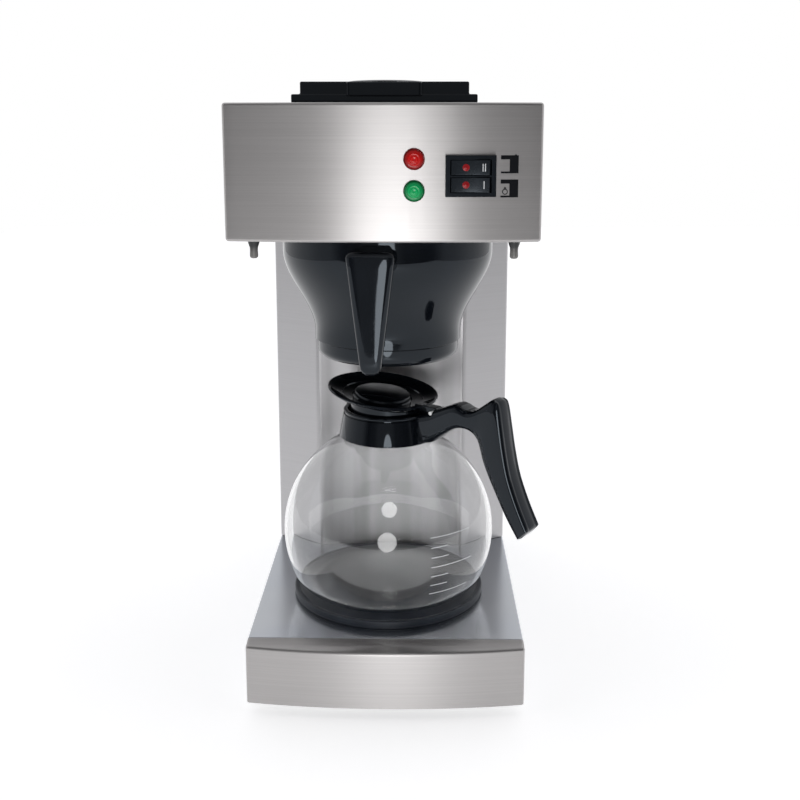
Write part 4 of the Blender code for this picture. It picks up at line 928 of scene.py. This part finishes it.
def make_level_marks():
    """Filling levels: long lines with short ones between them, printed on the glass."""
    half_line = 0.3 * MM
    for i in range(LEVEL_MARKS):
        height = LOWEST_LEVEL + i * LEVEL_PITCH
        width = LONG_MARK if i % 3 == 0 else SHORT_MARK
        name = f"level_mark_{i + 1}"
        mesh = band_mesh(name, MARKS_START, MARKS_START + width, height - half_line, height + half_line)
        ready(name, mesh, WHITE_INK, "decanter")


def make_collar():
    """The collar that grips the neck, with a pouring lip on the side away from the handle."""
    low = COLLAR_LOW.z
    top = COLLAR_HIGH.z
    wide = (COLLAR_HIGH.x - COLLAR_LOW.x) / 2
    narrow = wide - 3.4 * MM
    mouth = 32 * MM
    clear = NECK_RADIUS + 0.3 * MM
    step = top - 3.4 * MM
    seat = GLASS_HIGH.z + 0.3 * MM
    profile = [(wide - 0.9 * MM, low), (wide, low + 0.8 * MM), (wide - 0.4 * MM, low + 3 * MM),
               (narrow + 0.35 * MM, step - 1.0 * MM), (narrow, step), (narrow - 0.9 * MM, step + 0.3 * MM),
               (narrow - 1.0 * MM, step + 0.9 * MM), (narrow - 0.2 * MM, step + 1.5 * MM),
               (narrow, top - 1.1 * MM), (narrow - 0.5 * MM, top - 0.2 * MM), (narrow - 1.2 * MM, top),
               (mouth + 0.5 * MM, top), (mouth, top - 0.6 * MM), (mouth, seat), (clear, seat),
               (clear, low + 3 * MM), (wide - 1.6 * MM, low)]
    away = atan2(-OUT.y, -OUT.x)

    def lip(angle, radius, height):
        turn = abs((angle - away + pi) % (2 * pi) - pi)
        near = max(0.0, 1 - turn / radians(24))
        share = near ** 2 * (3 - 2 * near)
        rise = max(0.0, (height - step + 2 * MM) / (top - step + 2 * MM))
        return radius + 3.2 * MM * share * rise ** 2, height

    place = Matrix.Translation(BREW_AXIS)
    lathe("decanter_band", profile, place, GLOSS, "decanter", ("decanter_collar",), 160, lip)


def make_handle():
    """A swept bar: out of the collar, over a finger rest and down a long grip that flares away."""
    root = 33.5
    # Edge lines in millimetres: distance from the brew axis, height above the collar's foot
    outer_points = [(root, 24), (45, 27.5), (55.5, 32), (66, 36.5), (72, 36), (79, 33.5), (86, 35.5),
                    (93, 40.5), (99.5, 45.2), (104, 45.4), (107, 41.5), (110.2, 24), (113.2, 7),
                    (117.5, -11), (125, -30), (133.6, -47.6)]
    inner_points = [(root, 1.4), (45, 2.5), (55.5, 10), (65.5, 16.6), (71, 18.6), (77, 19), (81, 18),
                    (84.5, 15.5), (87, 12.5), (88.6, 9.5), (90, 6), (93.3, -4), (98, -14), (104.5, -25.5),
                    (113.5, -41.5), (124.2, -57.2)]
    share = 5
    base = COLLAR_LOW.z - 0.3 * MM
    outer = [Vector((x * MM, base + z * MM)) for x, z in curve_through(outer_points, share)]
    inner = [Vector((x * MM, base + z * MM)) for x, z in curve_through(inner_points, share)]
    reach = (outer[-1] - inner[-1]).length / 2
    # The rounded end: each cut's share of the bar's thickness, and how far it lies past the one before
    for shrink, slide in ((0.86, 1.2), (0.6, 1.9), (0.25, 2.2)):
        centre = (outer[-1] + inner[-1]) / 2
        along = (outer[-1] - outer[-2]).normalized() * slide * MM * 0.5
        rise = (outer[-1] - inner[-1]).normalized() * reach * shrink
        outer.append(centre + along + rise)
        inner.append(centre + along - rise)
    wide = 21 / 2 * MM
    stations = []
    for i, (far, near) in enumerate(zip(outer, inner)):
        place = i / (len(outer) - 1)
        waist = 1 - 0.10 * max(0.0, 1 - abs(place - 0.45) / 0.25)
        narrowing = 0.74 if place > 0.985 else 0.9 if place > 0.97 else waist
        groove = min(max((place - 0.52) / 0.05, 0.0), max((0.99 - place) / 0.03, 0.0), 1.0)
        stations.append((far, near, wide * narrowing, 1.1 * MM * groove))
    handle = lofted("decanter_grip", stations, HANDLE_FRAME, GLOSS, "decanter", ("decanter_handle",), 4.2)
    pin = HANDLE_FRAME.inverted() @ LID_PIN
    notch = 4.6 * MM
    place = HANDLE_FRAME @ Matrix.Translation((pin.x, pin.y, 0))
    cut_away(handle, (-16 * MM, -4.5 * MM, -notch), (5 * MM, 20 * MM, notch), place)


def make_decanter_lid():
    """A shallow leaning dish with a low hub, a plug that stands in the collar and a lug for the hinge pin."""
    body = BODY_OF["decanter_lid"]
    hub = 22.8 * MM
    tilt = radians(7.5)
    shift = 5 * MM
    level = LID_PIN.z + 9.9 * MM
    drop = 8.1 * MM
    # In millimetres: distance from the dish's own axis, height from its rim
    dish = [(0.01, -2.4), (20.6, -2.4), (21.9, -2.7), (22.6, -3.5), (23.0, -5.6), (24.0, -6.4), (31.0, -5.6),
            (31.8, -5.4), (32.4, -4.5), (40.6, -2.1), (41.8, -0.6), (43.0, -0.05), (43.9, -0.3), (44.2, -1.1),
            (43.7, -2.0), (41.0, -3.6), (30.0, -7.2), (26.0, -8.1), (0.01, -8.1)]
    profile = [(radius * MM, height * MM) for radius, height in dish]
    # The local Z lies across the handle, so this turn lowers the side next to it
    lean = (HANDLE_FRAME @ Matrix.Translation((-shift, level, 0)) @ Matrix.Rotation(-tilt, 4, "Z")
            @ Matrix.Rotation(radians(-90), 4, "X"))
    lathe("decanter_lid_dish", profile, lean, GLOSS, body, ("decanter_lid",), 160)
    away = atan2(-OUT.y, -OUT.x)
    plug_top = level - drop + 0.8 * MM
    plug_low = COLLAR_HIGH.z - 6 * MM
    plug = [(30, plug_top), (30, plug_low + 0.6 * MM), (29.4, plug_low), (28.2, plug_low), (28, plug_top)]

    def follow_dish(angle, radius, height):
        lift = (radius * cos(angle - away) - shift) * sin(tilt) if height == plug_top else 0.0
        return radius, height + lift

    lathe("decanter_lid_plug", [(radius * MM, height) for radius, height in plug],
          Matrix.Translation(BREW_AXIS), GLOSS, body, (), 96, follow_dish)
    pin = HANDLE_FRAME.inverted() @ LID_PIN
    start = hub + 6 * MM - pin.x
    rise = plug_top - pin.y
    lug = arc((0, 0), 3.2 * MM, -90, 90, 12) + [(start, rise + 1.2 * MM), (start, rise - 2 * MM)]
    half = 4.2 * MM
    place = HANDLE_FRAME @ Matrix.Translation((pin.x, pin.y, 0))
    prism("decanter_lid_lug", lug, -half, half, place, GLOSS, body, (), 0.5 * MM)


def make_plain_nodes():
    """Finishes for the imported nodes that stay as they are."""
    slots = {item["node"]: item["material_slot"] for item in frame["record"]["subparts"]}
    for node, piece in NODES.items():
        for slot in piece.material_slots:
            slot.material = FINISH_OF_SLOT.get(slots[node], MATT)


# ---------------------------------------------------------------- stage


def make_floor():
    mesh = bpy.data.meshes.new("floor")
    side = 1.6
    front = -1.3
    back = 3.5
    corners = [(-side, front, 0), (side, front, 0), (side, back, 0), (-side, back, 0)]
    mesh.from_pydata(corners, [], [(0, 1, 2, 3)])
    floor = bpy.data.objects.new("floor", mesh)
    floor.location.z = -0.5 * MM
    bpy.context.scene.collection.objects.link(floor)
    mesh.materials.append(floor_paint("floor_pale"))


def make_world():
    """A studio: soft light straight in front, dark beside that, bright at the sides and the back."""
    world = bpy.data.worlds.new("studio")
    world.use_nodes = True
    bpy.context.scene.world = world
    graph = Graph(world.node_tree)
    way = graph.node("ShaderNodeTexCoord", output="Generated")
    x = graph.node("ShaderNodeSeparateXYZ", None, {0: way}, "X")
    y = graph.node("ShaderNodeSeparateXYZ", None, {0: way}, "Y")
    turn = graph.node("ShaderNodeMath", {"operation": "ARCTAN2"}, {0: x, 1: y * -1.0})
    share = graph.node("ShaderNodeMapRange", None, {"Value": turn, "From Min": -pi, "From Max": pi})
    # Degrees from straight in front, towards the right, and the brightness there
    lights = ((-180, 0.75), (-100, 0.75), (-66, 0.56), (-46, 0.06), (-33, 0.12), (-20, 0.32), (8, 0.32),
              (22, 0.12), (48, 0.06), (68, 0.50), (100, 0.75), (180, 0.75))
    stops = [((angle + 180) / 360, (light, light, light * 1.015)) for angle, light in lights]
    studio = graph.node("ShaderNodeValToRGB", {"stops": stops}, {0: share})
    seen = graph.node("ShaderNodeLightPath", output="Is Camera Ray")
    ground = world.node_tree.nodes["Background"]
    graph.join(ground.inputs["Color"], graph.blend(seen, studio, (1.0, 1.0, 1.0)))
    graph.join(ground.inputs["Strength"], 1.0)


def make_softbox():
    """One round softbox straight in front, at the height of the decanter and the basket."""
    lamp = bpy.data.lights.new("softbox_front", "AREA")
    lamp.shape = "ELLIPSE"
    lamp.size = 0.30
    lamp.size_y = 0.31
    lamp.energy = 1.35
    place = Vector((0, -0.96, 0.165))
    target = Vector((0, -0.1, 0.17))
    light = bpy.data.objects.new("softbox_front", lamp)
    light.location = place
    light.rotation_euler = (target - place).to_track_quat("-Z", "Y").to_euler()
    light.visible_camera = False
    bpy.context.scene.collection.objects.link(light)


def make_camera():
    camera_data = bpy.data.cameras.new("camera")
    camera = bpy.data.objects.new("camera", camera_data)
    bpy.context.scene.collection.objects.link(camera)
    camera.location = (0.0173, -0.8888, 0.4319)
    camera.rotation_euler = (radians(90 - 10.5), 0, 0.0165)
    camera_data.sensor_width = 36.0
    camera_data.lens = 47.85
    camera_data.shift_y = -0.103
    camera_data.clip_start = 0.01
    bpy.context.scene.camera = camera


make_plain_nodes()
make_housing()
make_warmer("lower")
make_warmer("upper")
make_fill_lid()
make_lens("red", (0.15, 0.002, 0.002), (0.58, 0.008, 0.007), 0.15)
make_lens("green", (0.0, 0.09, 0.025), (0.005, 0.42, 0.12), 0.15)
make_switches()
make_pictograms()
make_basket()
make_glass()
make_collar()
make_handle()
make_decanter_lid()
make_floor()
make_world()
make_softbox()
make_camera()
bpy.context.scene.view_settings.view_transform = "Standard"
